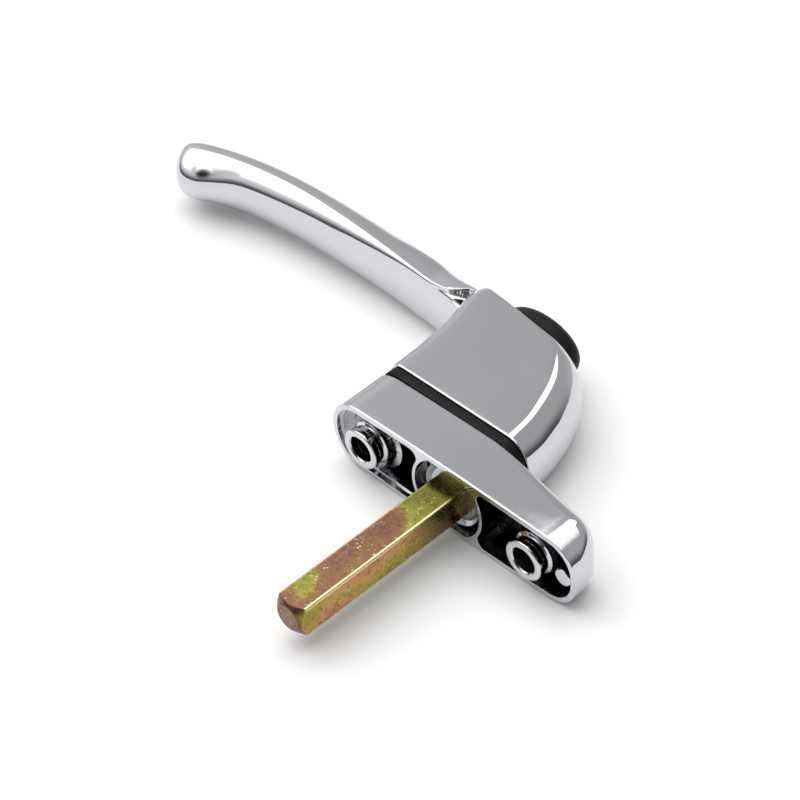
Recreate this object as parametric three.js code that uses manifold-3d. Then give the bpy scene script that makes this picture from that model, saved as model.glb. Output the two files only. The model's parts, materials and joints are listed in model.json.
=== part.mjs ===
// A key-locking window handle: a chromed lever on a hollow base, with a square spindle.
// Millimetres. The lock is drawn in its own frame: x along the closed lever, y across
// the base, z out into the room, with z = 0 on the base's mounting rim. The exported
// group turns that frame so that the lock lies on its flat side, with +Z up.
import * as THREE from 'three';
import { mergeVertices } from 'three/addons/utils/BufferGeometryUtils.js';
import Module from 'manifold-3d';

const wasm = await Module();
wasm.setup();

// ---- clearances
const RUN = 0.1; // radial gap of a part that turns or slides in a bore
const SEAT = 0.06; // gap of a fixed part in its seat
const FACE = 0.12; // gap between two flat faces that meet
const OVERCUT = 4; // how far a cutting tool runs past the face that it opens
const LAP = 0.1; // how far two bodies run into each other before they are joined

// ---- base plate
const BASE_LENGTH = 63.7;
const BASE_WIDTH = 16.4;
const BASE_DEPTH = 11.8;
const BASE_CENTRE = -0.97; // the outline's middle, along the lever from the spindle
const SIDE_BOW = 0.35; // how much narrower the base is where its round ends begin
const END_LENGTH = 7.4; // length of each round end
const END_SQUARENESS = 2.25; // 2 is an ellipse, more is squarer
const RIM_WALL = 1.1;
const TOP_WALL = 3.0; // solid top over the two side pockets
const EDGE_RADIUS = 0.6; // along the room face, beside the hub
const NOSE_EDGE_RADIUS = 3.2; // the same edge at the nose
const SLOPE_START = -2; // where the room face starts to fall towards the nose
const SLOPE_LENGTH = 8; // first stretch of the fall, and how much it falls
const SLOPE_FALL = 0.6;
// The nose seen from the side: distance in from the tip, and drop from the room face.
const NOSE_CURVE = [[0, 9], [0.4, 7.2], [1.2, 5.6], [2.4, 4.2], [4.1, 3], [6.8, 2.2], [11, 1.7]];
const NOSE_EDGE_LENGTH = 22; // stretch over which the edge grows to the nose's radius
const SCREW_SPACING = 43;
const SCREW_HOLE = 5.6;
const SCREW_HEAD = 9.6;
const SCREW_HEAD_DEPTH = 2.1;
const BOSS_DIAMETER = 8.7;
const BOSS_PROUD = 1.9; // how far the screw bosses stand out of the mounting rim
const BOSS_ROOT = 11; // diameter of the thick part of the nose boss
const BOSS_STEP_LEVEL = 1.6;
const BOSS_ROOT_LEVEL = 3.2;
const BOSS_FLARE = 0.8; // the tail boss widens by this much on each side at its foot
const BOSS_FLARE_LENGTH = 2;
const PLATEAU_LEVEL = 2.8;
const PLATEAU_RADIUS = 6.8;
const PEG_DIAMETER = 3.8;
const PEG_GAP = 0.15;
const CHAMBER_UNDERCUT = 1.4; // how far the round chamber runs into the side walls
const PARTITION_WALL = 0.7;
const CHAMBER_LEVEL = 4.7; // ledge that the thrust washer bears on
const CAM_LEVEL = 6.2; // floor of the recess for the index springs
const SPRING_RECESS_LENGTH = 10;

// ---- rotor, spindle and what holds them
const ROTOR_DIAMETER = 13.2;
const ROTOR_TOP = 24;
const ROTOR_FOOT = 1.9;
const ROTOR_FLAT = 11.8; // width across the flats that turn it with the hub
const ROTOR_ROOF = 1.7; // solid metal over the square socket
const CAM_WIDTH = 11.6; // width across the index flats
const NECK_DIAMETER = 11.5;
const RETAINER_GROOVE = 10.7;
const RETAINER_LEVEL = 2.4;
const RETAINER_THICKNESS = 0.55;
const RETAINER_FLAT = 0.5;
const RETAINER_DISH = 0.9;
const RETAINER_MARGIN = 0.2;
const WASHER_THICKNESS = 0.75;
const WASHER_MARGIN = 0.3; // gap round the thrust washer
const SPRING_WASHER_OUTER = 13.6;
const SPRING_WASHER_THICKNESS = 0.3;
const INDEX_STRIP = 0.4;
const INDEX_LENGTH = 9;
const INDEX_BEND = 0.25;
const SPINDLE_WIDTH = 7;
const SPINDLE_CORNER = 0.6;
const SPINDLE_PROJECTION = 41;
const SPINDLE_CHAMFER = 1.5;
const SPINDLE_TIP_INSET = 0.8;
const SPINDLE_END_GAP = 0.3;
const PIN_DIAMETER = 3;
const PIN_BORE = 1.7;
const PIN_SLOT = 0.5;
const PIN_INSET = 0.3; // how far the pin's ends stay inside the rotor
const PIN_LEVEL = 18.5;

// ---- gasket and lever hub
const GASKET_THICKNESS = 2.2;
const GASKET_INSET = 0.35;
const HUB_GAP = 0.1; // between base, gasket and hub
const HUB_WIDTH = 16.4;
const HUB_CORNER = 3; // radius of the upright corners beside the lever
const HUB_CORNER_SQUARENESS = 2.1;
const CORE_POCKET = { length: 7, width: 11, top: 27, centre: 22 };
// Rings of the hub: height, tip of the nose, where the flat side starts, back.
const HUB_RINGS = [
  [14.2, -8.4, -2.2, 28.9],
  [20.0, -7.9, -1.4, 29.1],
  [25.8, -6.6, 0.5, 29.6],
  [30.8, -4.7, 2.7, 30.3],
  [34.5, -2.8, 5.1, 31.2],
  [38.5, 0.2, 8.6, 32.2],
  [40.3, 2.6, 10.9, 32.3],
  [43.4, 7.5, 14.4, 31.6],
];
// The hub's room face, seen from the side: along the lever, and height.
const HUB_TOP = [[-12, 39.3], [3, 39.9], [11, 40.6], [27, 42.6], [30.2, 42.8], [31.8, 41.6], [36, 38]];

// ---- lever grip: stations of [room side], [widest line], [sash side], half width
const GRIP_STATIONS = [
  [[24, 40.9], [24, 37.4], [24, 34.8], 5.4],
  [[31, 42.3], [31, 37.4], [31, 35.9], 5.8],
  [[38, 43.5], [38, 37.8], [38, 36.6], 6.0],
  [[46, 45.0], [46, 38.7], [46, 37.2], 6.0],
  [[56, 45.8], [56, 40.1], [56, 37.4], 6.0],
  [[68, 45.9], [68, 41.2], [68, 37.2], 6.0],
  [[80, 45.5], [80, 41.6], [80, 36.6], 6.0],
  [[90, 44.7], [89.8, 40.9], [89.2, 35.6], 6.0],
  [[99, 43.2], [98.2, 39.4], [96.8, 34.0], 6.1],
  [[106, 41.3], [104.5, 37.5], [102.0, 31.7], 6.1],
  [[111.2, 39.5], [109.2, 35.9], [105.7, 29.6], 6.0],
  [[114.3, 37.9], [112.4, 34.6], [109.1, 29.0], 5.3],
  [[115.3, 36.2], [113.9, 33.8], [111.6, 30.0], 3.8],
  [[115.2, 34.8], [114.4, 33.4], [112.9, 31.3], 1.7],
];
const GRIP_UPPER_SQUARENESS = 4.6;
const GRIP_LOWER_SQUARENESS = 2.15;
const GRIP_RINGS = 38;
const GRIP_SEGMENTS = 28;

// ---- push button and key lock
const BUTTON_CENTRE = 17;
const BUTTON_LENGTH = 20;
const BUTTON_WIDTH = 14;
const BUTTON_TOP = 46.9;
const BUTTON_FOOT = 32.6;
const BUTTON_DOME = 4.5;
const BUTTON_STROKE = 3.5;
const BUTTON_CLEAR = 0.12;
const BARREL_DIAMETER = 8.8;
const BARREL_TOP = 46.5;
const BARREL_FOOT = 36.6;
const BARREL_BEZEL = 0.5;
const BARREL_PIN_DIAMETER = 1.2;
const BARREL_PIN_LEVEL = 40;
const BARREL_PIN_INSET = 0.25;
const BARREL_BEZEL_FLARE = 0.6;
const BARREL_WALL = 1.2;
const PLUG_TOP = 46.25;
const PLUG_FOOT = 35.9;
const KEYWAY_FLOOR_GAP = 0.6; // from the keyway's floor to the first wafer
const PLUG_GROOVE_DEPTH = 0.6;
const PLUG_CLIP_THICKNESS = 0.48;
const PLUG_CLIP_CLEAR = 0.08;
const PLUG_CLIP_OPENING = 0.5; // radians, half of the clip's gap
const PLUG_CLIP_MARGIN = 0.45; // how far the clip stays inside the barrel's outer edge
const PLUG_TANG_MARGIN = 1.9; // from the plug's skin to the flats of its tang
const KEYWAY_THICKNESS = 0.9;
const KEYWAY_MARGIN = 0.9; // metal left beside the keyway
const WAFER_COUNT = 5;
const WAFER_PITCH = 1.5;
const WAFER_FIRST = 38.2;
const WAFER_THICKNESS = 0.6;
const WAFER_MARGIN = 1.3; // from the plug's skin to the wafer's side
const WAFER_EAR = 0.75;
const WAFER_EAR_SPAN = [-0.9, -0.1]; // where the ear begins and ends along the wafer
const WAFER_WINDOW = [-1.5, 1.7];
const WAFER_WINDOW_STEP = 0.12; // how much the wafers' windows differ
const WAFER_WINDOW_CLEAR = 0.15;
const WAFER_SPRING_DIAMETER = 0.8;
const WAFER_SPRING_WIRE = 0.16;
const WAFER_SPRING_TURNS = 3;
const WAFER_SPRING_SPAN = [0.02, 1.36]; // where the spring begins and ends along the wafer
const WAFER_SPRING_ROOM = 1.5;
const CAM_DISC_INSET = 0.2;
const CAM_FLOOR = 0.15; // metal left under the tang
const CAM_DISC_THICKNESS = 0.6;
const CRANK_RADIUS = 1; // from the plug's axis to the crank peg
const CRANK_PEG_DIAMETER = 1.4;
const CATCH_THICKNESS = 1.5;
const CATCH_WIDTH = 5.6;
const CATCH_TONGUE_WIDTH = 3.6;
const CATCH_REACH = 1.2; // how far the locked tongue stands out of the button
const CATCH_LEVEL = 33.5;
const CATCH_BACK = 1.7; // metal behind and before the crank peg's path
const CATCH_FRONT = 2.2;
const CATCH_SLOT_CLEAR = 0.2; // round the tongue in the hub

// ---- lock pin that drops into the base
const LOCK_PIN_AT = 10.8;
const LOCK_PIN_DIAMETER = 3;
const LOCK_PIN_LIFT = 0.7; // gap from the base to the pin while the button is out
const LOCK_PIN_CHAMFER = 0.5;
const LOCK_HOLE_CLEAR = 0.4;
const LOCK_PIN_HEAD = 37;
const RETURN_SPRING_OUTER = 5.8;
const RETURN_SPRING_WIRE = 0.65;
const RETURN_SPRING_TURNS = 5;
const RETURN_SPRING_FLOOR = 25;

// ---- worked out from the sizes above
const BASE_TAIL = BASE_CENTRE + BASE_LENGTH / 2; // the end under the lever
const BASE_NOSE = BASE_CENTRE - BASE_LENGTH / 2;
const SCREW_AT = SCREW_SPACING / 2;
const GASKET_FOOT = BASE_DEPTH + HUB_GAP;
const GASKET_TOP = GASKET_FOOT + GASKET_THICKNESS;
const HUB_FOOT = GASKET_TOP + HUB_GAP;
const INNER_HALF_WIDTH = BASE_WIDTH / 2 - RIM_WALL;
const CHAMBER_RADIUS = INNER_HALF_WIDTH + CHAMBER_UNDERCUT;
const PARTITION_RADIUS = CHAMBER_RADIUS + PARTITION_WALL;
const WASHER_DIAMETER = 2 * (CHAMBER_RADIUS - WASHER_MARGIN);
const BUTTON_FLOOR = BUTTON_FOOT - BUTTON_STROKE - FACE;
const CATCH_TRAVEL = CRANK_RADIUS * Math.SQRT2;
const PEG_AT = BASE_NOSE + RIM_WALL + PEG_GAP + PEG_DIAMETER / 2;
const LOCK_PIN_FOOT = BASE_DEPTH + LOCK_PIN_LIFT;
const PLUG_CLIP_LEVEL = BARREL_FOOT - PLUG_CLIP_THICKNESS - FACE;
const PLUG_DIAMETER = BARREL_DIAMETER - 2 * BARREL_WALL;
const PLUG_CLIP_GROOVE = PLUG_DIAMETER - 2 * PLUG_GROOVE_DEPTH;
const PLUG_CLIP_OUTER = BARREL_DIAMETER - 2 * PLUG_CLIP_MARGIN;
const PLUG_TANG = PLUG_DIAMETER - 2 * PLUG_TANG_MARGIN;
const KEYWAY_WIDTH = PLUG_DIAMETER - 2 * KEYWAY_MARGIN;
const WAFER_WIDTH = PLUG_DIAMETER - 2 * WAFER_MARGIN;
const WAFER_HALF_LENGTH = KEYWAY_WIDTH / 2;
const CAM_DISC_DIAMETER = PLUG_DIAMETER - 2 * CAM_DISC_INSET;

// ---- geometry helpers

// A closed manifold solid from any three.js geometry, with its faces pointing out.
function solid(geometry) {
  const bare = geometry.clone();
  bare.deleteAttribute('normal');
  bare.deleteAttribute('uv');
  const merged = mergeVertices(bare, 1e-4);
  const p = merged.attributes.position;
  const kept = [];
  let volume = 0;
  const [a, b, c] = [new THREE.Vector3(), new THREE.Vector3(), new THREE.Vector3()];
  for (let i = 0; i < merged.index.count; i += 3) {
    const t = [merged.index.getX(i), merged.index.getX(i + 1), merged.index.getX(i + 2)];
    if (t[0] === t[1] || t[1] === t[2] || t[2] === t[0]) continue;
    kept.push(t);
    a.fromBufferAttribute(p, t[0]);
    b.fromBufferAttribute(p, t[1]);
    c.fromBufferAttribute(p, t[2]);
    volume += a.dot(b.cross(c));
  }
  const triVerts = kept.flatMap((t) => (volume < 0 ? [t[0], t[2], t[1]] : t));
  return new wasm.Manifold(new wasm.Mesh({
    numProp: 3,
    vertProperties: new Float32Array(p.array),
    triVerts: new Uint32Array(triVerts),
  }));
}

function toGeometry(body) {
  const mesh = body.getMesh();
  const geometry = new THREE.BufferGeometry();
  geometry.setAttribute('position', new THREE.BufferAttribute(new Float32Array(mesh.vertProperties), 3));
  geometry.setIndex(new THREE.BufferAttribute(new Uint32Array(mesh.triVerts), 1));
  geometry.computeVertexNormals();
  return geometry;
}

function polygon(points) {
  return new THREE.Shape(points.map(([x, y]) => new THREE.Vector2(x, y)));
}

// A flat outline across the lock, raised from one height to another.
function prism(shape, low, high, curveSegments = 12) {
  const settings = { depth: high - low, bevelEnabled: false, curveSegments };
  const geometry = new THREE.ExtrudeGeometry(shape, settings);
  return solid(geometry.translate(0, 0, low));
}

// A side outline (along, height), as thick as stated and centred across the lock.
function sidePrism(points, width) {
  const geometry = new THREE.ExtrudeGeometry(polygon(points), { depth: width, bevelEnabled: false });
  return solid(geometry.translate(0, 0, -width / 2).rotateX(Math.PI / 2));
}

function drum(diameter, low, high, at = 0, segments = 48) {
  const geometry = new THREE.CylinderGeometry(diameter / 2, diameter / 2, high - low, segments);
  return solid(geometry.rotateX(Math.PI / 2).translate(at, 0, (low + high) / 2));
}

function cone(lowDiameter, highDiameter, low, high, at = 0, segments = 48) {
  const geometry = new THREE.CylinderGeometry(highDiameter / 2, lowDiameter / 2, high - low, segments);
  return solid(geometry.rotateX(Math.PI / 2).translate(at, 0, (low + high) / 2));
}

function block(x0, x1, y0, y1, z0, z1) {
  const geometry = new THREE.BoxGeometry(x1 - x0, y1 - y0, z1 - z0);
  return solid(geometry.translate((x0 + x1) / 2, (y0 + y1) / 2, (z0 + z1) / 2));
}

// A skin over rings of equal point counts, closed by a fan at each end.
function loft(rings) {
  const count = rings[0].length;
  const points = rings.flat();
  const middles = [rings[0], rings[rings.length - 1]].map((ring) => {
    const middle = new THREE.Vector3();
    ring.forEach((point) => middle.addScaledVector(point, 1 / count));
    return middle;
  });
  const first = points.length;
  const index = [];
  for (let r = 0; r < rings.length - 1; r += 1) {
    for (let i = 0; i < count; i += 1) {
      const a = r * count + i;
      const b = r * count + ((i + 1) % count);
      index.push(a, b, a + count, b, b + count, a + count);
    }
  }
  const last = (rings.length - 1) * count;
  for (let i = 0; i < count; i += 1) {
    const next = (i + 1) % count;
    index.push(first, next, i);
    index.push(first + 1, last + i, last + next);
  }
  const geometry = new THREE.BufferGeometry().setFromPoints([...points, ...middles]);
  geometry.setIndex(index);
  return solid(geometry);
}

function power(value, squareness) {
  return Math.sign(value) * Math.abs(value) ** (2 / squareness);
}

// A round wire swept along a curve.
function wire(curve, diameter, steps, sides = 6) {
  const section = new THREE.Shape();
  section.absarc(0, 0, diameter / 2, 0, 2 * Math.PI, false);
  const geometry = new THREE.ExtrudeGeometry(section, {
    steps, extrudePath: curve, bevelEnabled: false, curveSegments: sides,
  });
  return solid(geometry);
}

// A coil about an axis along z, from one height to another.
class Coil extends THREE.Curve {
  constructor(radius, low, high, turns) {
    super();
    Object.assign(this, { radius, low, high, turns });
  }

  getPoint(t, target = new THREE.Vector3()) {
    const angle = 2 * Math.PI * this.turns * t;
    const z = this.low + (this.high - this.low) * t;
    return target.set(this.radius * Math.cos(angle), this.radius * Math.sin(angle), z);
  }
}

function oval(length, width, at, points = 40) {
  return Array.from({ length: points }, (_, i) => {
    const angle = (2 * Math.PI * i) / points;
    return [at + (length / 2) * Math.cos(angle), (width / 2) * Math.sin(angle)];
  });
}

// A round disc or ring with a gap towards +x, as retaining clips have.
function openRing(inner, outer, opening, low, high) {
  const shape = new THREE.Shape();
  shape.absarc(0, 0, outer / 2, opening, 2 * Math.PI - opening, false);
  shape.absarc(0, 0, inner / 2, 2 * Math.PI - opening, opening, true);
  shape.closePath();
  return prism(shape, low, high, 14);
}

// ---- base plate

// Half the base's width at a place along it, moved inwards by inset.
function baseHalfWidth(x, inset) {
  const middleHalf = BASE_LENGTH / 2 - END_LENGTH;
  const along = Math.abs(x - BASE_CENTRE);
  if (along <= middleHalf) return BASE_WIDTH / 2 - SIDE_BOW * (along / middleHalf) ** 2 - inset;
  const share = Math.min(1, (along - middleHalf) / (END_LENGTH - inset));
  return (BASE_WIDTH / 2 - SIDE_BOW - inset) * (1 - share ** END_SQUARENESS) ** (1 / END_SQUARENESS);
}

// Places along the base, close together where its ends round over.
function baseStations(inset) {
  const middleHalf = BASE_LENGTH / 2 - END_LENGTH;
  const half = [0, 0.33, 0.66].map((share) => share * middleHalf);
  for (let i = 0; i <= 8; i += 1) {
    half.push(middleHalf + (END_LENGTH - inset) * Math.sin((Math.PI / 2) * (i / 8)));
  }
  return [...half.map((x) => BASE_CENTRE - x).reverse(), ...half.slice(1).map((x) => BASE_CENTRE + x)];
}

// The base's outline in plan, moved inwards by inset.
function baseOutline(inset) {
  const near = baseStations(inset).map((x) => [x, baseHalfWidth(x, inset)]);
  const far = near.slice(1, -1).map(([x, y]) => [x, -y]).reverse();
  return polygon([...near, ...far]);
}

const noseCurve = new THREE.SplineCurve([
  ...NOSE_CURVE.map(([x, drop]) => new THREE.Vector2(BASE_NOSE + x, BASE_DEPTH - drop)),
  new THREE.Vector2(SLOPE_START - SLOPE_LENGTH, BASE_DEPTH - SLOPE_FALL),
  new THREE.Vector2(SLOPE_START, BASE_DEPTH),
]).getPoints(60);

// Height of the room face at a place along the base.
function baseTop(x) {
  if (x >= SLOPE_START) return BASE_DEPTH;
  const next = noseCurve.findIndex((point) => point.x > x);
  if (next <= 0) return noseCurve[0].y;
  const [a, b] = [noseCurve[next - 1], noseCurve[next]];
  return a.y + ((b.y - a.y) * (x - a.x)) / (b.x - a.x);
}

// One cross-section of the base: flat rim, upright sides, rounded room-side edges.
function baseSection(x) {
  const slope = THREE.MathUtils.smoothstep(SLOPE_START - x, 0, NOSE_EDGE_LENGTH);
  const half = Math.max(baseHalfWidth(x, 0), 0.02);
  const top = baseTop(x);
  const radius = Math.min(EDGE_RADIUS + (NOSE_EDGE_RADIUS - EDGE_RADIUS) * slope, half * 0.9);
  const corner = Array.from({ length: 6 }, (_, i) => (Math.PI / 2) * (i / 5));
  const [y0, z0] = [half - radius, top - radius];
  const side = corner.map((angle) => [y0 + radius * Math.cos(angle), z0 + radius * Math.sin(angle)]);
  const line = [[half, 0], ...side];
  const back = line.map(([y, z]) => [-y, z]).reverse();
  return [...line, ...back].map(([y, z]) => new THREE.Vector3(x, y, z));
}

// The space under the room face, which follows it at the thickness stated.
function underTop(thickness, width) {
  const inside = BASE_LENGTH - 2 * RIM_WALL;
  const steps = Array.from({ length: 25 }, (_, i) => BASE_NOSE + RIM_WALL + (inside * i) / 24);
  const roof = steps.map((x) => [x, Math.max(0.5, baseTop(x - RIM_WALL) - thickness)]);
  return sidePrism([[steps[0], -OVERCUT], ...roof, [steps[24], -OVERCUT]], width);
}

function screwBore(at, top) {
  return drum(SCREW_HOLE, -OVERCUT, BASE_DEPTH + OVERCUT, at)
    .add(cone(SCREW_HOLE, SCREW_HEAD, top - SCREW_HEAD_DEPTH, top, at))
    .add(drum(SCREW_HEAD, top - 0.01, top + OVERCUT, at));
}

function makeBasePlate() {
  const body = loft(baseStations(0).map(baseSection));
  const inner = prism(baseOutline(RIM_WALL), -OVERCUT, BASE_DEPTH);
  const deep = inner.intersect(underTop(TOP_WALL, BASE_WIDTH));
  const plateau = drum(2 * PLATEAU_RADIUS, PLATEAU_LEVEL, BASE_DEPTH, SCREW_AT)
    .add(block(SCREW_AT, BASE_TAIL, -BASE_WIDTH, BASE_WIDTH, PLATEAU_LEVEL, BASE_DEPTH));
  const noseBoss = drum(BOSS_DIAMETER, -OVERCUT, BASE_DEPTH, -SCREW_AT)
    .add(cone(BOSS_DIAMETER, BOSS_ROOT, BOSS_STEP_LEVEL, BOSS_ROOT_LEVEL, -SCREW_AT))
    .add(drum(BOSS_ROOT, BOSS_ROOT_LEVEL, BASE_DEPTH, -SCREW_AT));
  const peg = drum(PEG_DIAMETER, -OVERCUT, BASE_DEPTH, PEG_AT, 24);
  const middle = drum(2 * PARTITION_RADIUS, -OVERCUT, BASE_DEPTH);
  const pockets = deep.subtract(middle).subtract(plateau).subtract(noseBoss).subtract(peg);
  const chamber = inner.intersect(drum(2 * CHAMBER_RADIUS, -OVERCUT, CHAMBER_LEVEL));
  const recessHalf = SPRING_RECESS_LENGTH / 2;
  const recess = block(
    -recessHalf, recessHalf, -INNER_HALF_WIDTH, INNER_HALF_WIDTH, CHAMBER_LEVEL - LAP, CAM_LEVEL,
  ).intersect(drum(2 * CHAMBER_RADIUS, 0, BASE_DEPTH));
  const tailBoss = drum(BOSS_DIAMETER, -BOSS_PROUD, PLATEAU_LEVEL + LAP, SCREW_AT).add(cone(
    BOSS_DIAMETER, BOSS_DIAMETER + 2 * BOSS_FLARE,
    PLATEAU_LEVEL - BOSS_FLARE_LENGTH, PLATEAU_LEVEL + LAP, SCREW_AT,
  ));
  const noseTip = drum(BOSS_DIAMETER, -BOSS_PROUD, LAP, -SCREW_AT);
  const noseFace = baseTop(-SCREW_AT);
  const lockHole = LOCK_PIN_DIAMETER + LOCK_HOLE_CLEAR;
  const cuts = drum(ROTOR_DIAMETER + 2 * RUN, 0, BASE_DEPTH + OVERCUT, 0, 64)
    .add(screwBore(SCREW_AT, BASE_DEPTH))
    .add(screwBore(-SCREW_AT, noseFace))
    .add(drum(lockHole, CHAMBER_LEVEL + LAP, BASE_DEPTH + OVERCUT, LOCK_PIN_AT, 24));
  return body.subtract(pockets).subtract(chamber).subtract(recess)
    .add(tailBoss).add(noseTip).subtract(cuts);
}

// ---- rotor group

function squareBar(width, corner, low, high) {
  const half = width / 2;
  const inside = half - corner;
  const shape = new THREE.Shape();
  [[inside, inside, 0], [-inside, inside, 1], [-inside, -inside, 2], [inside, -inside, 3]]
    .forEach(([x, y, quarter]) => {
      const start = (quarter * Math.PI) / 2;
      shape.absarc(x, y, corner, start, start + Math.PI / 2, false);
    });
  shape.closePath();
  return prism(shape, low, high, 4);
}

function crossBore(diameter, halfLength, level, segments = 24) {
  const geometry = new THREE.CylinderGeometry(diameter / 2, diameter / 2, 2 * halfLength, segments);
  return solid(geometry.translate(0, 0, level));
}

function makeDriveRotor() {
  const flatHalf = ROTOR_FLAT / 2;
  const flats = block(-flatHalf, flatHalf, -ROTOR_DIAMETER, ROTOR_DIAMETER, HUB_FOOT + FACE, ROTOR_TOP);
  const head = drum(ROTOR_DIAMETER, HUB_FOOT, ROTOR_TOP, 0, 64).intersect(flats);
  const journal = drum(ROTOR_DIAMETER, CAM_LEVEL, HUB_FOOT + FACE, 0, 64);
  const half = CAM_WIDTH / 2;
  const camLow = CHAMBER_LEVEL - 0.02;
  const cam = drum(ROTOR_DIAMETER, camLow, CAM_LEVEL + 0.01, 0, 64)
    .intersect(block(-half, half, -half, half, camLow, CAM_LEVEL + 1));
  const neck = drum(NECK_DIAMETER, ROTOR_FOOT, CHAMBER_LEVEL, 0);
  const grooveLow = RETAINER_LEVEL - SEAT;
  const grooveHigh = RETAINER_LEVEL + RETAINER_THICKNESS + SEAT;
  const groove = drum(2 * NECK_DIAMETER, grooveLow, grooveHigh)
    .subtract(drum(RETAINER_GROOVE, grooveLow - 1, grooveHigh + 1));
  const socket = squareBar(SPINDLE_WIDTH + 2 * SEAT, SPINDLE_CORNER, ROTOR_FOOT - 1, ROTOR_TOP - ROTOR_ROOF);
  return head.add(journal).add(cam).add(neck).subtract(groove).subtract(socket)
    .subtract(crossBore(PIN_DIAMETER + 2 * SEAT, ROTOR_DIAMETER, PIN_LEVEL));
}

function makeSpindle() {
  const end = ROTOR_TOP - ROTOR_ROOF - SPINDLE_END_GAP;
  const bar = squareBar(SPINDLE_WIDTH, SPINDLE_CORNER, -SPINDLE_PROJECTION, end);
  const corner = SPINDLE_WIDTH * Math.SQRT2;
  const tipDiameter = corner - 2 * SPINDLE_CHAMFER - SPINDLE_TIP_INSET;
  const chamferEnd = SPINDLE_CHAMFER - SPINDLE_PROJECTION;
  const tip = cone(tipDiameter, corner, -SPINDLE_PROJECTION, chamferEnd)
    .add(drum(corner, chamferEnd, end + 1));
  return bar.intersect(tip).subtract(crossBore(PIN_DIAMETER + 2 * SEAT, SPINDLE_WIDTH, PIN_LEVEL));
}

function makeSpindlePin() {
  const halfLength = ROTOR_DIAMETER / 2 - PIN_INSET;
  const [slotLow, slotHigh] = [PIN_LEVEL - PIN_SLOT / 2, PIN_LEVEL + PIN_SLOT / 2];
  const slot = block(0, PIN_DIAMETER, -ROTOR_DIAMETER, ROTOR_DIAMETER, slotLow, slotHigh);
  return crossBore(PIN_DIAMETER, halfLength, PIN_LEVEL)
    .subtract(crossBore(PIN_BORE, ROTOR_DIAMETER, PIN_LEVEL))
    .subtract(slot);
}

function makeThrustWasher() {
  const high = CHAMBER_LEVEL - FACE;
  const half = INNER_HALF_WIDTH - 2 * FACE;
  return drum(WASHER_DIAMETER, high - WASHER_THICKNESS, high)
    .intersect(block(-WASHER_DIAMETER, WASHER_DIAMETER, -half, half, 0, BASE_DEPTH))
    .subtract(drum(NECK_DIAMETER + 2 * RUN, 0, BASE_DEPTH));
}

function makeSpringWasher() {
  const low = RETAINER_LEVEL + RETAINER_THICKNESS + SEAT;
  const high = CHAMBER_LEVEL - FACE - WASHER_THICKNESS - SEAT;
  const rise = high - low - SPRING_WASHER_THICKNESS;
  const inner = NECK_DIAMETER / 2 + RUN;
  const outer = SPRING_WASHER_OUTER / 2;
  const profile = [
    [inner, low], [outer, low + rise], [outer, high], [inner, low + SPRING_WASHER_THICKNESS], [inner, low],
  ].map(([x, y]) => new THREE.Vector2(x, y));
  return solid(new THREE.LatheGeometry(profile, 48).rotateX(Math.PI / 2));
}

// A push-on washer in the rotor's groove, dished towards the sash.
function makeRetainer() {
  const inner = RETAINER_GROOVE / 2 + SEAT;
  const outer = INNER_HALF_WIDTH - RETAINER_MARGIN;
  const knee = inner + RETAINER_FLAT;
  const low = RETAINER_LEVEL;
  const high = low + RETAINER_THICKNESS;
  const profile = [
    [inner, low], [knee, low], [outer, low - RETAINER_DISH], [outer, high - RETAINER_DISH],
    [knee, high], [inner, high], [inner, low],
  ].map(([x, y]) => new THREE.Vector2(x, y));
  return solid(new THREE.LatheGeometry(profile, 64).rotateX(Math.PI / 2));
}

// A bent steel strip that presses on the rotor's index flats.
function makeIndexSpring(side) {
  const near = CAM_WIDTH / 2 + RUN;
  const wall = INNER_HALF_WIDTH - RUN - INDEX_STRIP;
  const half = INDEX_LENGTH / 2;
  const path = [[-half, wall], [-half * 0.7, near + INDEX_BEND], [-half * 0.5, near]];
  const line = [...path, ...path.map(([x, y]) => [-x, y]).reverse()];
  const back = line.map(([x, y]) => [x, y + INDEX_STRIP]).reverse();
  const outline = [...line, ...back].map(([x, y]) => [x, side * y]);
  return prism(polygon(outline), CHAMBER_LEVEL + RUN, CAM_LEVEL - RUN);
}

// ---- lever and gasket

// One level outline of the hub: round nose, flat sides, rounded back corners.
function hubRing([height, nose, side, back], inset = 0) {
  const half = HUB_WIDTH / 2 - inset;
  const corner = HUB_CORNER;
  const points = [];
  for (let i = 0; i <= 24; i += 1) {
    const angle = Math.PI / 2 + (Math.PI * i) / 24;
    const x = side + (side - nose - inset) * power(Math.cos(angle), HUB_CORNER_SQUARENESS);
    points.push(new THREE.Vector3(x, half * power(Math.sin(angle), HUB_CORNER_SQUARENESS), height));
  }
  for (const edge of [-1, 1]) {
    for (let i = 0; i <= 5; i += 1) {
      const angle = edge < 0 ? -Math.PI / 2 + (Math.PI / 10) * i : (Math.PI / 10) * i;
      const x = back - inset - corner + corner * Math.cos(angle);
      points.push(new THREE.Vector3(x, edge * (half - corner) + corner * Math.sin(angle), height));
    }
  }
  return points;
}

function buttonBore(low, high, clear) {
  const outline = polygon(oval(BUTTON_LENGTH + 2 * clear, BUTTON_WIDTH + 2 * clear, BUTTON_CENTRE));
  return prism(outline, low, high);
}

function makeHub() {
  const shifted = HUB_RINGS.map((ring, i) => (i === 0 ? [HUB_FOOT, ...ring.slice(1)] : ring));
  const [noseEnd, backEnd] = [HUB_TOP[0][0], HUB_TOP[HUB_TOP.length - 1][0]];
  const side = [...HUB_TOP, [backEnd, HUB_FOOT], [noseEnd, HUB_FOOT]];
  return loft(shifted.map((ring) => hubRing(ring))).intersect(sidePrism(side, HUB_WIDTH + OVERCUT));
}

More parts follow.
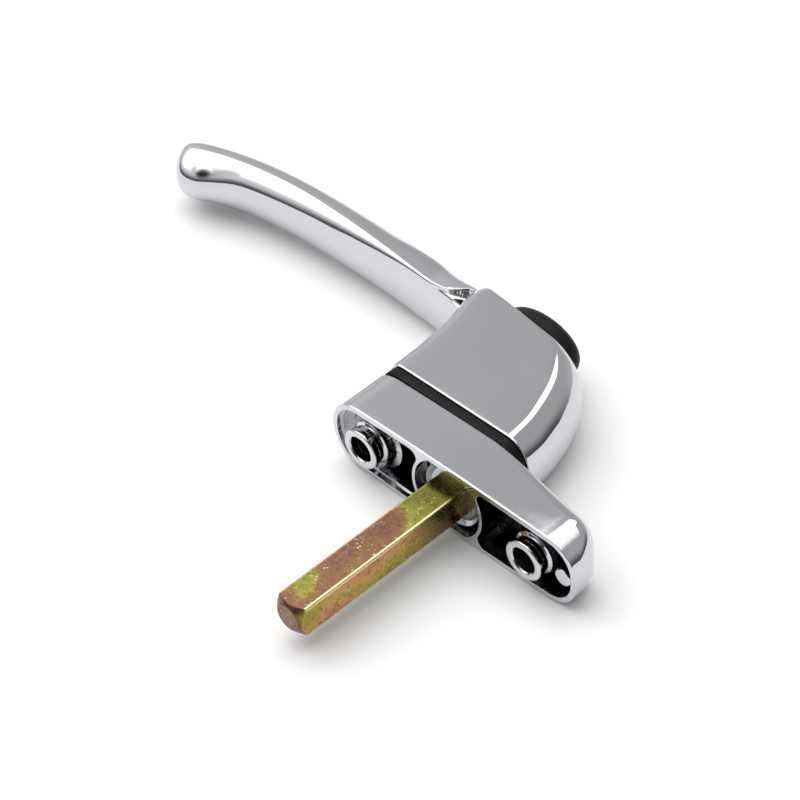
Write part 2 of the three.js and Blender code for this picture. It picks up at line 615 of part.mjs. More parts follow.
function makeGrip() {
  const lines = [0, 1, 2].map((n) => new THREE.CatmullRomCurve3(
    GRIP_STATIONS.map((station) => new THREE.Vector3(station[n][0], 0, station[n][1])),
    false, 'centripetal',
  ));
  const widths = new THREE.SplineCurve(GRIP_STATIONS.map((station, i) => new THREE.Vector2(i, station[3])));
  const rings = [];
  for (let r = 0; r < GRIP_RINGS; r += 1) {
    const t = r / (GRIP_RINGS - 1);
    const [room, middle, sash] = lines.map((line) => line.getPoint(t));
    const width = widths.getPoint(t).y;
    const ring = [];
    for (let i = 0; i < GRIP_SEGMENTS; i += 1) {
      const angle = (2 * Math.PI * i) / GRIP_SEGMENTS;
      const upper = Math.sin(angle) >= 0;
      const squareness = upper ? GRIP_UPPER_SQUARENESS : GRIP_LOWER_SQUARENESS;
      const towards = upper ? room : sash;
      const lift = Math.abs(power(Math.sin(angle), squareness));
      const point = middle.clone().lerp(towards, lift);
      point.y = width * power(Math.cos(angle), squareness);
      ring.push(point);
    }
    rings.push(ring);
  }
  return loft(rings);
}

function makeLeverHandle() {
  const socketDiameter = ROTOR_DIAMETER + 2 * SEAT;
  const flat = ROTOR_FLAT / 2 + SEAT;
  const socket = drum(socketDiameter, HUB_FOOT - 1, ROTOR_TOP + 2 * SEAT, 0, 64).intersect(
    block(-flat, flat, -HUB_WIDTH, HUB_WIDTH, 0, BUTTON_TOP)
      .add(block(-HUB_WIDTH, HUB_WIDTH, -HUB_WIDTH, HUB_WIDTH, 0, HUB_FOOT + 2 * FACE)),
  );
  const pinBore = drum(LOCK_PIN_DIAMETER + 2 * RUN, HUB_FOOT - 1, BUTTON_TOP, LOCK_PIN_AT, 24);
  const springBore = drum(RETURN_SPRING_OUTER + 6 * RUN, RETURN_SPRING_FLOOR, BUTTON_FOOT, LOCK_PIN_AT, 32);
  const button = buttonBore(BUTTON_FLOOR, BUTTON_TOP + OVERCUT, BUTTON_CLEAR);
  const tongueHalf = CATCH_TONGUE_WIDTH / 2 + CATCH_SLOT_CLEAR;
  const slotEnd = BUTTON_CENTRE + BUTTON_LENGTH / 2 + CATCH_REACH + CATCH_SLOT_CLEAR;
  const slot = block(
    BUTTON_CENTRE, slotEnd, -tongueHalf, tongueHalf,
    CATCH_LEVEL - BUTTON_STROKE - CATCH_SLOT_CLEAR, CATCH_LEVEL + CATCH_THICKNESS + CATCH_SLOT_CLEAR,
  );
  const { length, width, top, centre } = CORE_POCKET;
  const core = prism(polygon(oval(length, width, centre, 32)), HUB_FOOT - 1, top);
  return makeHub().add(makeGrip()).subtract(socket).subtract(pinBore)
    .subtract(springBore).subtract(button).subtract(slot).subtract(core);
}

function makeHubGasket() {
  const foot = hubRing(HUB_RINGS[0], GASKET_INSET).map((point) => [point.x, point.y]);
  return prism(polygon(foot), GASKET_FOOT, GASKET_TOP)
    .subtract(drum(ROTOR_DIAMETER + 2 * SEAT, 0, BUTTON_TOP, 0, 64))
    .subtract(drum(LOCK_PIN_DIAMETER + 2 * RUN, 0, BUTTON_TOP, LOCK_PIN_AT, 24));
}

// ---- button and lock

// The catch's plan, moved inwards (or outwards, for its slot in the button).
function catchBlocks(clear) {
  const low = CATCH_LEVEL - clear;
  const high = CATCH_LEVEL + CATCH_THICKNESS + clear;
  const half = CATCH_WIDTH / 2 + clear;
  const tongue = CATCH_TONGUE_WIDTH / 2 + clear;
  const back = BUTTON_CENTRE - CRANK_RADIUS - CATCH_BACK;
  const shoulder = BUTTON_CENTRE + CRANK_RADIUS + CATCH_FRONT;
  const reach = BUTTON_CENTRE + BUTTON_LENGTH / 2 + CATCH_REACH;
  return block(back - clear, shoulder + clear, -half, half, low, high)
    .add(block(BUTTON_CENTRE, reach + clear, -tongue, tongue, low, high));
}

function crankPegAt() {
  return [BUTTON_CENTRE + CRANK_RADIUS * Math.SQRT1_2, CRANK_RADIUS * Math.SQRT1_2];
}

function makeButtonCap() {
  const rings = [];
  const level = (inset, height) => oval(BUTTON_LENGTH - 2 * inset, BUTTON_WIDTH - 2 * inset, BUTTON_CENTRE)
    .map(([x, y]) => new THREE.Vector3(x, y, height));
  rings.push(level(0, BUTTON_FOOT));
  for (let i = 0; i <= 8; i += 1) {
    const angle = (Math.PI / 2) * (i / 8);
    const inset = BUTTON_DOME * (1 - Math.cos(angle));
    rings.push(level(inset, BUTTON_TOP - BUTTON_DOME + BUTTON_DOME * Math.sin(angle)));
  }
  const slot = catchBlocks(FACE);
  const travel = slot.translate(-CATCH_TRAVEL - FACE, 0, 0);
  const floor = CATCH_LEVEL + CATCH_THICKNESS;
  const bore = drum(BARREL_DIAMETER + 2 * SEAT, floor, BUTTON_TOP + 1, BUTTON_CENTRE);
  const pinSeat = drum(LOCK_PIN_DIAMETER + 2 * SEAT, BUTTON_FOOT - 1, LOCK_PIN_HEAD + SEAT, LOCK_PIN_AT, 24);
  return loft(rings).subtract(slot).subtract(travel).subtract(bore)
    .subtract(pinSeat).subtract(barrelPinBore(SEAT));
}

function barrelPinBore(clear) {
  const geometry = new THREE.CylinderGeometry(
    BARREL_PIN_DIAMETER / 2 + clear, BARREL_PIN_DIAMETER / 2 + clear, BUTTON_WIDTH, 16,
  );
  return solid(geometry.translate(BUTTON_CENTRE + BARREL_DIAMETER / 2, 0, BARREL_PIN_LEVEL));
}

function makeBarrelPin() {
  const outer = (BARREL_DIAMETER + BARREL_PIN_DIAMETER) / BUTTON_LENGTH;
  const half = (BUTTON_WIDTH / 2) * Math.sqrt(1 - outer ** 2) - BARREL_PIN_INSET;
  return barrelPinBore(0).intersect(block(0, BASE_LENGTH, -half, half, 0, BARREL_TOP));
}

function makeLockBarrel() {
  const outer = drum(BARREL_DIAMETER, BARREL_FOOT, BARREL_TOP, BUTTON_CENTRE);
  const bore = PLUG_DIAMETER + 2 * RUN;
  const bezelLow = BARREL_TOP - BARREL_BEZEL;
  const bezel = cone(bore, bore + 2 * BARREL_BEZEL_FLARE, bezelLow, BARREL_TOP + LAP, BUTTON_CENTRE);
  return outer.subtract(drum(bore, 0, BUTTON_TOP, BUTTON_CENTRE))
    .subtract(bezel).subtract(barrelPinBore(SEAT));
}

function waferLevel(n) {
  return WAFER_FIRST + n * WAFER_PITCH;
}

// The space of one wafer and of its spring, with the clearance stated.
function waferPlate(n, clear) {
  const low = waferLevel(n) - clear;
  const high = waferLevel(n) + WAFER_THICKNESS + clear;
  const half = WAFER_WIDTH / 2 + clear;
  const ear = half + WAFER_EAR;
  return block(-half, half, -WAFER_HALF_LENGTH, WAFER_HALF_LENGTH, low, high)
    .add(block(0, ear, WAFER_EAR_SPAN[0] - clear, WAFER_EAR_SPAN[1] + clear, low, high))
    .translate(BUTTON_CENTRE, 0, 0);
}

function makeWafer(n) {
  const half = KEYWAY_THICKNESS / 2 + WAFER_WINDOW_CLEAR;
  const room = WAFER_HALF_LENGTH - WAFER_MARGIN;
  const window = block(
    BUTTON_CENTRE - half, BUTTON_CENTRE + half,
    WAFER_WINDOW[0] * room + WAFER_WINDOW_STEP * (n % 3), WAFER_WINDOW[1] * room, 0, BUTTON_TOP,
  );
  return waferPlate(n, 0).subtract(window);
}

function waferSpringSpace(n) {
  const high = waferLevel(n) + WAFER_THICKNESS / 2 + WAFER_SPRING_DIAMETER / 2 + SEAT;
  const low = waferLevel(n) + WAFER_THICKNESS / 2 - WAFER_SPRING_DIAMETER / 2 - SEAT;
  const near = WAFER_WIDTH / 2 + SEAT;
  const across = near + WAFER_SPRING_DIAMETER + 2 * SEAT;
  return block(
    BUTTON_CENTRE + near, BUTTON_CENTRE + across + OVERCUT,
    WAFER_EAR_SPAN[0] - SEAT, WAFER_SPRING_ROOM, low, high,
  );
}

function makeWaferSpring(n) {
  const radius = (WAFER_SPRING_DIAMETER - WAFER_SPRING_WIRE) / 2;
  const coil = new Coil(radius, ...WAFER_SPRING_SPAN, WAFER_SPRING_TURNS);
  return wire(coil, WAFER_SPRING_WIRE, 24, 2).rotate([-90, 0, 0]).translate(
    BUTTON_CENTRE + WAFER_WIDTH / 2 + 2 * SEAT + WAFER_SPRING_DIAMETER / 2,
    0, waferLevel(n) + WAFER_THICKNESS / 2,
  );
}

function makeKeyPlug() {
  const body = drum(PLUG_DIAMETER, PLUG_FOOT, PLUG_TOP, BUTTON_CENTRE);
  const tang = PLUG_TANG / 2;
  const foot = PLUG_FOOT - CAM_DISC_THICKNESS;
  const square = block(BUTTON_CENTRE - tang, BUTTON_CENTRE + tang, -tang, tang, foot, PLUG_FOOT + LAP);
  const keyway = block(
    BUTTON_CENTRE - KEYWAY_THICKNESS / 2, BUTTON_CENTRE + KEYWAY_THICKNESS / 2,
    -KEYWAY_WIDTH / 2, KEYWAY_WIDTH / 2, WAFER_FIRST - KEYWAY_FLOOR_GAP, PLUG_TOP + 1,
  );
  const grooveLow = PLUG_CLIP_LEVEL - PLUG_CLIP_CLEAR;
  const grooveHigh = PLUG_CLIP_LEVEL + PLUG_CLIP_THICKNESS + PLUG_CLIP_CLEAR;
  const groove = drum(2 * PLUG_DIAMETER, grooveLow, grooveHigh, BUTTON_CENTRE)
    .subtract(drum(PLUG_CLIP_GROOVE, 0, BUTTON_TOP, BUTTON_CENTRE));
  let plug = body.add(square).subtract(keyway).subtract(groove);
  for (let n = 0; n < WAFER_COUNT; n += 1) {
    plug = plug.subtract(waferPlate(n, SEAT)).subtract(waferSpringSpace(n))
      .subtract(block(
        BUTTON_CENTRE - WAFER_WIDTH / 2 - SEAT, BUTTON_CENTRE + WAFER_WIDTH / 2 + SEAT,
        -PLUG_DIAMETER, PLUG_DIAMETER, waferLevel(n) - SEAT, waferLevel(n) + WAFER_THICKNESS + SEAT,
      ));
  }
  return plug;
}

function makePlugClip() {
  const high = PLUG_CLIP_LEVEL + PLUG_CLIP_THICKNESS;
  return openRing(PLUG_CLIP_GROOVE + 2 * SEAT, PLUG_CLIP_OUTER, PLUG_CLIP_OPENING, PLUG_CLIP_LEVEL, high)
    .translate(BUTTON_CENTRE, 0, 0);
}

function makePlugCam() {
  const high = PLUG_FOOT - SEAT;
  const low = CATCH_LEVEL + CATCH_THICKNESS + SEAT;
  const tang = PLUG_TANG / 2 + SEAT;
  const [pegX, pegY] = crankPegAt();
  const disc = drum(CAM_DISC_DIAMETER, low, high, BUTTON_CENTRE)
    .subtract(block(BUTTON_CENTRE - tang, BUTTON_CENTRE + tang, -tang, tang, low + CAM_FLOOR, high + 1));
  return disc.add(drum(CRANK_PEG_DIAMETER, CATCH_LEVEL + RUN, low + LAP, 0, 20).translate(pegX, pegY, 0));
}

function makeLockCatch() {
  const [pegX] = crankPegAt();
  const half = CRANK_PEG_DIAMETER / 2 + RUN;
  const reach = CRANK_RADIUS + CRANK_PEG_DIAMETER / 2 + CATCH_SLOT_CLEAR;
  const yoke = block(pegX - half, pegX + half, -reach, reach, 0, BUTTON_TOP);
  return catchBlocks(0).subtract(yoke);
}

function makeLockPin() {
  const shank = drum(LOCK_PIN_DIAMETER, LOCK_PIN_FOOT + LOCK_PIN_CHAMFER, LOCK_PIN_HEAD, LOCK_PIN_AT, 24);
  return shank.add(cone(
    LOCK_PIN_DIAMETER - 2 * LOCK_PIN_CHAMFER, LOCK_PIN_DIAMETER,
    LOCK_PIN_FOOT, LOCK_PIN_FOOT + LOCK_PIN_CHAMFER, LOCK_PIN_AT, 24,
  ));
}

function makeReturnSpring() {
  const radius = (RETURN_SPRING_OUTER - RETURN_SPRING_WIRE) / 2;
  const low = RETURN_SPRING_FLOOR + RETURN_SPRING_WIRE / 2 + FACE;
  const high = BUTTON_FOOT - RETURN_SPRING_WIRE / 2 - FACE;
  const coil = new Coil(radius, low, high, RETURN_SPRING_TURNS);
  return wire(coil, RETURN_SPRING_WIRE, 64, 3).translate(LOCK_PIN_AT, 0, 0);
}

// ---- finishes

const FINISHES = {
  chrome: { color: 0xc9ccd1, roughness: 0.12, metalness: 1 },
  yellowZinc: { color: 0xa58a45, roughness: 0.32, metalness: 0.9 },
  greyZinc: { color: 0x9a9c9e, roughness: 0.45, metalness: 0.8 },
  springSteel: { color: 0x6f7276, roughness: 0.35, metalness: 0.9 },
  brightSteel: { color: 0xb4b6ba, roughness: 0.3, metalness: 0.95 },
  brass: { color: 0xb5964c, roughness: 0.35, metalness: 0.95 },
  blackPlastic: { color: 0x141416, roughness: 0.5, metalness: 0 },
};

const lock = new THREE.Group();
lock.rotation.x = Math.PI / 2;

function place(name, finish, body) {
  const mesh = new THREE.Mesh(toGeometry(body), new THREE.MeshStandardMaterial(FINISHES[finish]));
  mesh.name = name;
  lock.add(mesh);
}

// ---- the parts, in the order that they go together
place('base_plate', 'chrome', makeBasePlate());
place('index_spring_upper', 'springSteel', makeIndexSpring(1));
place('index_spring_lower', 'springSteel', makeIndexSpring(-1));
place('thrust_washer', 'greyZinc', makeThrustWasher());
place('hub_gasket', 'blackPlastic', makeHubGasket());
place('lever_handle', 'chrome', makeLeverHandle());
place('drive_rotor', 'greyZinc', makeDriveRotor());
place('spindle', 'yellowZinc', makeSpindle());
place('spindle_pin', 'springSteel', makeSpindlePin());
place('spring_washer', 'springSteel', makeSpringWasher());
place('rotor_retainer', 'greyZinc', makeRetainer());
place('button_cap', 'blackPlastic', makeButtonCap());
place('lock_barrel', 'brightSteel', makeLockBarrel());
place('barrel_pin', 'brightSteel', makeBarrelPin());
place('lock_pin', 'brightSteel', makeLockPin());
place('return_spring', 'springSteel', makeReturnSpring());
place('key_plug', 'brightSteel', makeKeyPlug());
for (let n = 0; n < WAFER_COUNT; n += 1) {
  place(`wafer_${n + 1}`, 'brass', makeWafer(n));
  place(`wafer_spring_${n + 1}`, 'springSteel', makeWaferSpring(n));
}
place('plug_clip', 'springSteel', makePlugClip());
place('plug_cam', 'greyZinc', makePlugCam());
place('lock_catch', 'greyZinc', makeLockCatch());

const row = new THREE.Group();
row.add(lock);
export default row;
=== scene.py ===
import json
import math

import bmesh
import bpy
from mathutils import Matrix, Vector


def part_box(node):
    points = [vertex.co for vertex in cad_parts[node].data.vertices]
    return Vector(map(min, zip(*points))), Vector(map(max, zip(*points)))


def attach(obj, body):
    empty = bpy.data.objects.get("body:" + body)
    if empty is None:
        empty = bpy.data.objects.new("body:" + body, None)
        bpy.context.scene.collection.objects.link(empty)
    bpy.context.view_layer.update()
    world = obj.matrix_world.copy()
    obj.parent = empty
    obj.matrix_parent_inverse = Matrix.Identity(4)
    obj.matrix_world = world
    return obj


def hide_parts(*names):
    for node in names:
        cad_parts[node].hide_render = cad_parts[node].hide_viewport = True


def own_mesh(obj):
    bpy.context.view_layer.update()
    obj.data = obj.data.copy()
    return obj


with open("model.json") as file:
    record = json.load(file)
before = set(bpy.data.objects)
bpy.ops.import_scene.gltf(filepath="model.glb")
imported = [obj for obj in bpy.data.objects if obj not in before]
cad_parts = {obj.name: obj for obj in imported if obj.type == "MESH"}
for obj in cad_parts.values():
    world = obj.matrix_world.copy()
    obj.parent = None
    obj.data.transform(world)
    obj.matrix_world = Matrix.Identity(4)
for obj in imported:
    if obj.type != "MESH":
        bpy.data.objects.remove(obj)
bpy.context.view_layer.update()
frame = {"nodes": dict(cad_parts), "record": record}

# A key-locking window handle: chromed lever and base, black push button, yellow zinc spindle.
# Outlines are drawn in the lock's own millimetres: x along the closed lever, y across the
# base, z out into the room from the mounting rim. place() turns them into the frame.

MM = 0.001


def place(x, y, z):
    return Vector((x, -z, y)) * MM


def extent(node):
    """Lowest and highest corner of a CAD node, in the lock's millimetres."""
    low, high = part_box(node)
    return (low.x / MM, low.z / MM, -high.y / MM), (high.x / MM, high.z / MM, -low.y / MM)


# ---- sizes that the frame gives

(BASE_NOSE, _, BOSS_FOOT), (BASE_TAIL, BASE_HALF, BASE_DEPTH) = extent("base_plate")
(_, _, GASKET_FOOT), (_, GASKET_HALF, GASKET_TOP) = extent("hub_gasket")
(_, _, HUB_FOOT), (_, HUB_HALF, _) = extent("lever_handle")
(BUTTON_BACK, _, BUTTON_FOOT), (BUTTON_FRONT, BUTTON_HALF, BUTTON_TOP) = extent("button_cap")
(_, _, SPINDLE_TIP), (_, SPINDLE_HALF, SPINDLE_END) = extent("spindle")
_, (_, ROTOR_RADIUS, ROTOR_TOP) = extent("drive_rotor")
_, (_, BARREL_RADIUS, _) = extent("lock_barrel")
_, (PIN_FRONT, PIN_RADIUS, PIN_HEAD) = extent("lock_pin")
(_, _, SPRING_FLOOR), (_, SPRING_RADIUS, SPRING_HEAD) = extent("return_spring")
(CATCH_BACK, _, CATCH_LOW), (CATCH_TIP, CATCH_HALF, CATCH_HIGH) = extent("lock_catch")

BASE_CENTRE = (BASE_NOSE + BASE_TAIL) / 2
BASE_HALF_LENGTH = (BASE_TAIL - BASE_NOSE) / 2
BUTTON_CENTRE = (BUTTON_BACK + BUTTON_FRONT) / 2
BUTTON_HALF_LENGTH = (BUTTON_FRONT - BUTTON_BACK) / 2
PIN_AT = PIN_FRONT - PIN_RADIUS
FLOOR_LEVEL = -BASE_HALF

# ---- sizes of the fine shapes

CLEAR = 0.06
OVERCUT = 4.0
# base
SIDE_BOW = 0.35
END_LENGTH = 7.4
END_SQUARENESS = 2.25
RIM_WALL = 1.1
LEDGE_WIDTH = 0.45
LEDGE_DEPTH = 1.2
RIM_EDGE = 0.22
EDGE_RADIUS = 0.6
NOSE_EDGE_RADIUS = 3.2
NOSE_EDGE_LENGTH = 22
SLOPE_START = -2.0
SLOPE_LENGTH = 8
SLOPE_FALL = 0.6
NOSE_DROPS = [(0, 9), (0.4, 7.2), (1.2, 5.6), (2.4, 4.2), (4.1, 3), (6.8, 2.2), (11, 1.7)]
SCREW_AT = 21.5
SCREW_HOLE = 2.8
SCREW_HEAD = 4.8
SCREW_HEAD_DEPTH = 2.1
BOSS_RADIUS = 4.35
BOSS_NECK = 3.95
PLATEAU_LEVEL = 2.8
PLATEAU_RADIUS = 6.8
PEG_RADIUS = 1.9
PEG_GAP = 0.15
TAIL_ROOF = 8.8
NOSE_ROOF = 5.4
CHAMBER_RADIUS = 8.5
PARTITION_RADIUS = 9.2
PARTITION_FILLET = 1.8
CHAMBER_LEVEL = 4.7
SPRING_ROOM_LEVEL = 6.2
SPRING_ROOM_HALF_LENGTH = 5
# hub: height, tip of the nose, where the flat side starts, back
HUB_RINGS = [
    (14.2, -8.4, -2.2, 28.9),
    (20.0, -7.9, -1.4, 29.1),
    (25.8, -6.6, 0.5, 29.6),
    (30.8, -4.7, 2.7, 30.3),
    (34.5, -2.8, 5.1, 31.2),
    (38.5, 0.2, 8.6, 32.2),
    (40.3, 2.6, 10.9, 32.3),
    (43.4, 7.5, 14.4, 31.6),
]
HUB_TOP = [(-12, 39.3), (3, 39.9), (11, 40.6), (27, 42.6), (30.2, 42.8), (31.8, 41.6), (36, 38)]
HUB_CORNER = 3.0
HUB_EDGE = 0.45
HUB_FOOT_EDGE = 0.25
WELL_CLEAR = 0.12
WELL_EDGE = 0.25
WELL_FLOOR = 28.98
# grip: [room side], [widest line], [sash side], half width
GRIP_STATIONS = [
    ((24, 40.9), (24, 37.4), (24, 34.8), 5.4),
    ((31, 42.3), (31, 37.4), (31, 35.9), 5.8),
    ((38, 43.5), (38, 37.8), (38, 36.6), 6.0),
    ((46, 45.0), (46, 38.4), (46, 37.2), 6.05),
    ((56, 45.8), (56, 39.4), (56, 37.3), 6.15),
    ((68, 45.9), (68, 40.3), (68, 37.0), 6.25),
    ((80, 45.5), (80, 40.7), (80, 36.4), 6.25),
    ((90, 44.7), (89.7, 40.1), (89.2, 35.4), 6.25),
    ((99, 43.2), (98.0, 38.8), (96.8, 33.9), 6.25),
    ((106, 41.3), (104.5, 37.5), (102.0, 31.7), 6.1),
    ((111.2, 39.5), (109.2, 35.9), (105.7, 29.6), 6.0),
    ((114.3, 37.9), (112.4, 34.6), (109.1, 29.0), 5.3),
    ((115.3, 36.2), (113.9, 33.8), (111.6, 30.0), 3.8),
    ((115.2, 34.8), (114.4, 33.4), (112.9, 31.3), 1.7),
]
GRIP_START = 29.2
GRIP_UPPER_SQUARENESS = (4.6, 2.5)
GRIP_LOWER_SQUARENESS = 2.2
SHOULDER_START = 31.0
SHOULDER_END = 43.0
RIDGE_END = 36.0
# the small pit on each side where the grip leaves the hub
PIT_APEX = (31.6, 4.3, 37.9)
PIT_CORNERS = [(35.6, 6.0, 36.6), (32.0, 7.6, 40.1), (32.1, 5.0, 35.1)]
PIT_REACHES = (0.05, 1.35)
# gasket and spindle
GASKET_EDGE = 0.2
SPINDLE_CORNER = 0.55
SPINDLE_CHAMFER = [(2.75, -0.01), (2.95, 0.12)]
SPINDLE_CHAMFER_LENGTH = 1.75
# return spring
SPRING_WIRE = 0.65
SPRING_TURNS = 5.0
# button
BUTTON_DOME = 3.0
BUTTON_HEM = 0.3
CATCH_GAP = 0.12
TONGUE_HALF = 1.8
# Known fault: the button's bore cuts this far into the lock barrel and its mouth closes over it;
# both signs should be the other way round, to clear the barrel and open the mouth.
BARREL_OVERLAP = 0.06
BARREL_LIP = 0.35
# studio, in the frame's metres
FLOOR_REACH = 2.2
SOFTBOX_POWER = 2.05
LENS_DIRECTION = (-0.42, 0.62, 0.66)
CAMERA_PLACE = (-0.24846, 0.23830, 0.35061)
CAMERA_FORWARD = (0.5363, -0.4920, -0.6857)
CAMERA_TOP = (0.4649, -0.5059, 0.7266)
CAMERA_SENSOR = 36
CAMERA_LENS = 117.15


# ---- shader nodes

class Socket:
    """A shader socket that takes part in Python maths; each operation adds its Math node."""

    def __init__(self, sheet, output):
        self.sheet = sheet
        self.output = output

    def _math(self, operation, a, b):
        return self.sheet.node("ShaderNodeMath", {"operation": operation}, {0: a, 1: b})

    def __add__(self, other):
        return self._math("ADD", self, other)

    def __radd__(self, other):
        return self._math("ADD", other, self)

    def __sub__(self, other):
        return self._math("SUBTRACT", self, other)

    def __rsub__(self, other):
        return self._math("SUBTRACT", other, self)

    def __mul__(self, other):
        return self._math("MULTIPLY", self, other)

    def __rmul__(self, other):
        return self._math("MULTIPLY", other, self)


class Tree:
    """A node tree that is written as expressions."""

    def __init__(self, tree):
        self.tree = tree

    def node(self, kind, settings=None, inputs=None, output=0):
        made = self.tree.nodes.new(kind)
        for name, value in (settings or {}).items():
            setattr(made, name, value)
        for key, value in (inputs or {}).items():
            self.link(value, made.inputs[key])
        return Socket(self, made.outputs[output])

    def link(self, value, target):
        if isinstance(value, Socket):
            self.tree.links.new(value.output, target)
        else:
            target.default_value = value

    def span(self, value, low, high, new_low=0.0, new_high=1.0):
        """value brought from low..high to new_low..new_high, level at both ends."""
        inputs = {"Value": value, "From Min": low, "From Max": high, "To Min": new_low, "To Max": new_high}
        return self.node("ShaderNodeMapRange", {"clamp": True, "interpolation_type": "SMOOTHSTEP"}, inputs)

    def magnitude(self, value):
        return self.node("ShaderNodeMath", {"operation": "ABSOLUTE"}, {0: value})

    def larger(self, a, b):
        return self.node("ShaderNodeMath", {"operation": "MAXIMUM"}, {0: a, 1: b})

    def axes(self, vector):
        return [self.node("ShaderNodeSeparateXYZ", None, {"Vector": vector}, k) for k in range(3)]


class Sheet(Tree):
    """One material's node tree with a Principled shader."""

    def __init__(self, name, **constants):
        self.material = bpy.data.materials.new(name)
        self.material.use_nodes = True
        super().__init__(self.material.node_tree)
        self.shader = self.tree.nodes["Principled BSDF"]
        for socket, value in constants.items():
            self.shader.inputs[socket.replace("_", " ")].default_value = value
        self.place = self.node("ShaderNodeTexCoord", output="Object")

    def feed(self, **sockets):
        for name, value in sockets.items():
            self.link(value, self.shader.inputs[name.replace("_", " ")])
        return self.material

    def noise(self, scale, detail=3.0, roughness=0.5, vector=None):
        inputs = {"Vector": vector or self.place, "Scale": scale, "Detail": detail, "Roughness": roughness}
        return self.node("ShaderNodeTexNoise", None, inputs, "Fac")

    def stretched(self, scale):
        return self.node("ShaderNodeMapping", None, {"Vector": self.place, "Scale": scale})

    def blend(self, factor, first, second):
        made = self.tree.nodes.new("ShaderNodeMix")
        made.data_type = "RGBA"
        for index, value in ((0, factor), (6, first), (7, second)):
            self.link(value, made.inputs[index])
        return Socket(self, made.outputs[2])

    def ramp(self, value, stops):
        made = self.tree.nodes.new("ShaderNodeValToRGB")
        elements = made.color_ramp.elements
        for position, colour in stops[1:-1]:
            elements.new(position).color = colour
        for element, (position, colour) in zip(elements, stops):
            element.position = position
            element.color = colour
        self.link(value, made.inputs[0])
        return Socket(self, made.outputs[0])

    def bump(self, height, strength, distance, normal=None):
        inputs = {"Height": height, "Strength": strength, "Distance": distance}
        if normal:
            inputs["Normal"] = normal
        return self.node("ShaderNodeBump", None, inputs)

    def soft_edges(self, radius):
        return self.node("ShaderNodeBevel", {"samples": 8}, {"Radius": radius})


def grey(value):
    return (value, value, value, 1.0)


def chrome():
    sheet = Sheet("bright_chrome", Metallic=1.0)
    haze = sheet.noise(90, 4)
    smears = sheet.noise(160, 3, vector=sheet.stretched((0.25, 1.0, 1.0)))
    tone = sheet.blend(haze, (0.60, 0.605, 0.63, 1), (0.64, 0.643, 0.665, 1))
    rough = sheet.span(smears, 0.35, 0.7, 0.03, 0.07) + sheet.span(haze, 0.5, 0.8, 0.0, 0.03)
    ripple = sheet.noise(230, 2)
    normal = sheet.bump(ripple, 0.02, 0.0004, sheet.soft_edges(0.2 * MM))
    return sheet.feed(Base_Color=tone, Roughness=rough, Normal=normal)


def pocket_painted_shade():
    """The base's pockets, with painted shade: chrome grey that darkens with the depth to near black."""
    sheet = Sheet("pocket_painted_shade", Metallic=1.0)
    grain = sheet.noise(1100, 3)
    depth = 0.0 - sheet.axes(sheet.place)[1]
    # Painted shade: the colour falls from chrome grey to near black deeper into the pocket.
    shade_by_depth = sheet.span(depth + grain * 0.0008, 0.0008, 0.0034)
    tone = sheet.blend(shade_by_depth, (0.60, 0.605, 0.62, 1), (0.012, 0.012, 0.014, 1))
    normal = sheet.bump(grain, 0.12, 0.0002)
    rough = sheet.span(grain, 0.3, 0.7, 0.1, 0.2) + shade_by_depth * 0.15
    return sheet.feed(Base_Color=tone, Roughness=rough, Normal=normal)


def yellow_zinc():
    """Passivated zinc: patches of olive, gold, orange and plum, with bright specks, plus painted light: a
    lighter side facet, a highlight along the corners and shade at the root.
    """
    sheet = Sheet("yellow_zinc", Metallic=1.0)
    across, along, up = sheet.axes(sheet.place)
    patches = sheet.noise(105, 2.5, 0.55, sheet.stretched((1.0, 0.55, 1.0)))
    bands = sheet.ramp(sheet.span(patches * 0.8 + along * 6.5, 0.36, 0.74), [
        (0.0, (0.17, 0.155, 0.03, 1)),
        (0.3, (0.21, 0.215, 0.045, 1)),
        (0.46, (0.27, 0.225, 0.055, 1)),
        (0.6, (0.22, 0.13, 0.055, 1)),
        (0.78, (0.19, 0.095, 0.065, 1)),
        (1.0, (0.25, 0.13, 0.08, 1)),
    ])
    # Painted reflection: the side facet that faces the floor gets its own lighter golden colours over the
    # zinc's hues, the other facets keep the darker ones.
    gold = sheet.span(0.0 - across, 0.0031, 0.0035)
    floor_lit_side = sheet.ramp(sheet.span(patches, 0.34, 0.66), [
        (0.0, (0.34, 0.28, 0.045, 1)),
        (0.35, (0.50, 0.33, 0.08, 1)),
        (0.65, (0.56, 0.28, 0.11, 1)),
        (1.0, (0.46, 0.21, 0.11, 1)),
    ])
    tone = sheet.blend(gold, bands, floor_lit_side)
    cells = sheet.node("ShaderNodeTexVoronoi", None, {"Vector": sheet.place, "Scale": 1500.0})
    sparkle = sheet.span(cells, 0.1, 0.3, 1.0, 0.0) * sheet.span(sheet.noise(420, 3), 0.5, 0.62)
    speckled = sheet.blend(sparkle * 0.75, tone, (0.86, 0.80, 0.66, 1))
    pits = sheet.span(sheet.noise(1300, 4, 0.65), 0.52, 0.68)
    pitted = sheet.blend(pits * 0.6, speckled, (0.06, 0.045, 0.02, 1))
    # Painted highlight: a thin pale gold line along the bar's rounded corners.
    painted_edge_highlight = sheet.span(sheet.magnitude(across) + sheet.magnitude(up), 0.00635, 0.00662)
    edge_highlighted = sheet.blend(painted_edge_highlight * 0.8, pitted, (0.95, 0.82, 0.45, 1))
    root = sheet.span(along - gold * 0.007, -0.002, 0.009, 0.35, 1.0)
    shaded = sheet.blend(root, (0.07, 0.06, 0.02, 1), edge_highlighted)
    grain = sheet.noise(1500, 3)
    rough = sheet.span(grain, 0.3, 0.7, 0.22, 0.34)
    normal = sheet.bump(grain + sparkle, 0.2, 0.0001, sheet.soft_edges(0.3 * MM))
    return sheet.feed(Base_Color=shaded, Roughness=rough, Normal=normal)


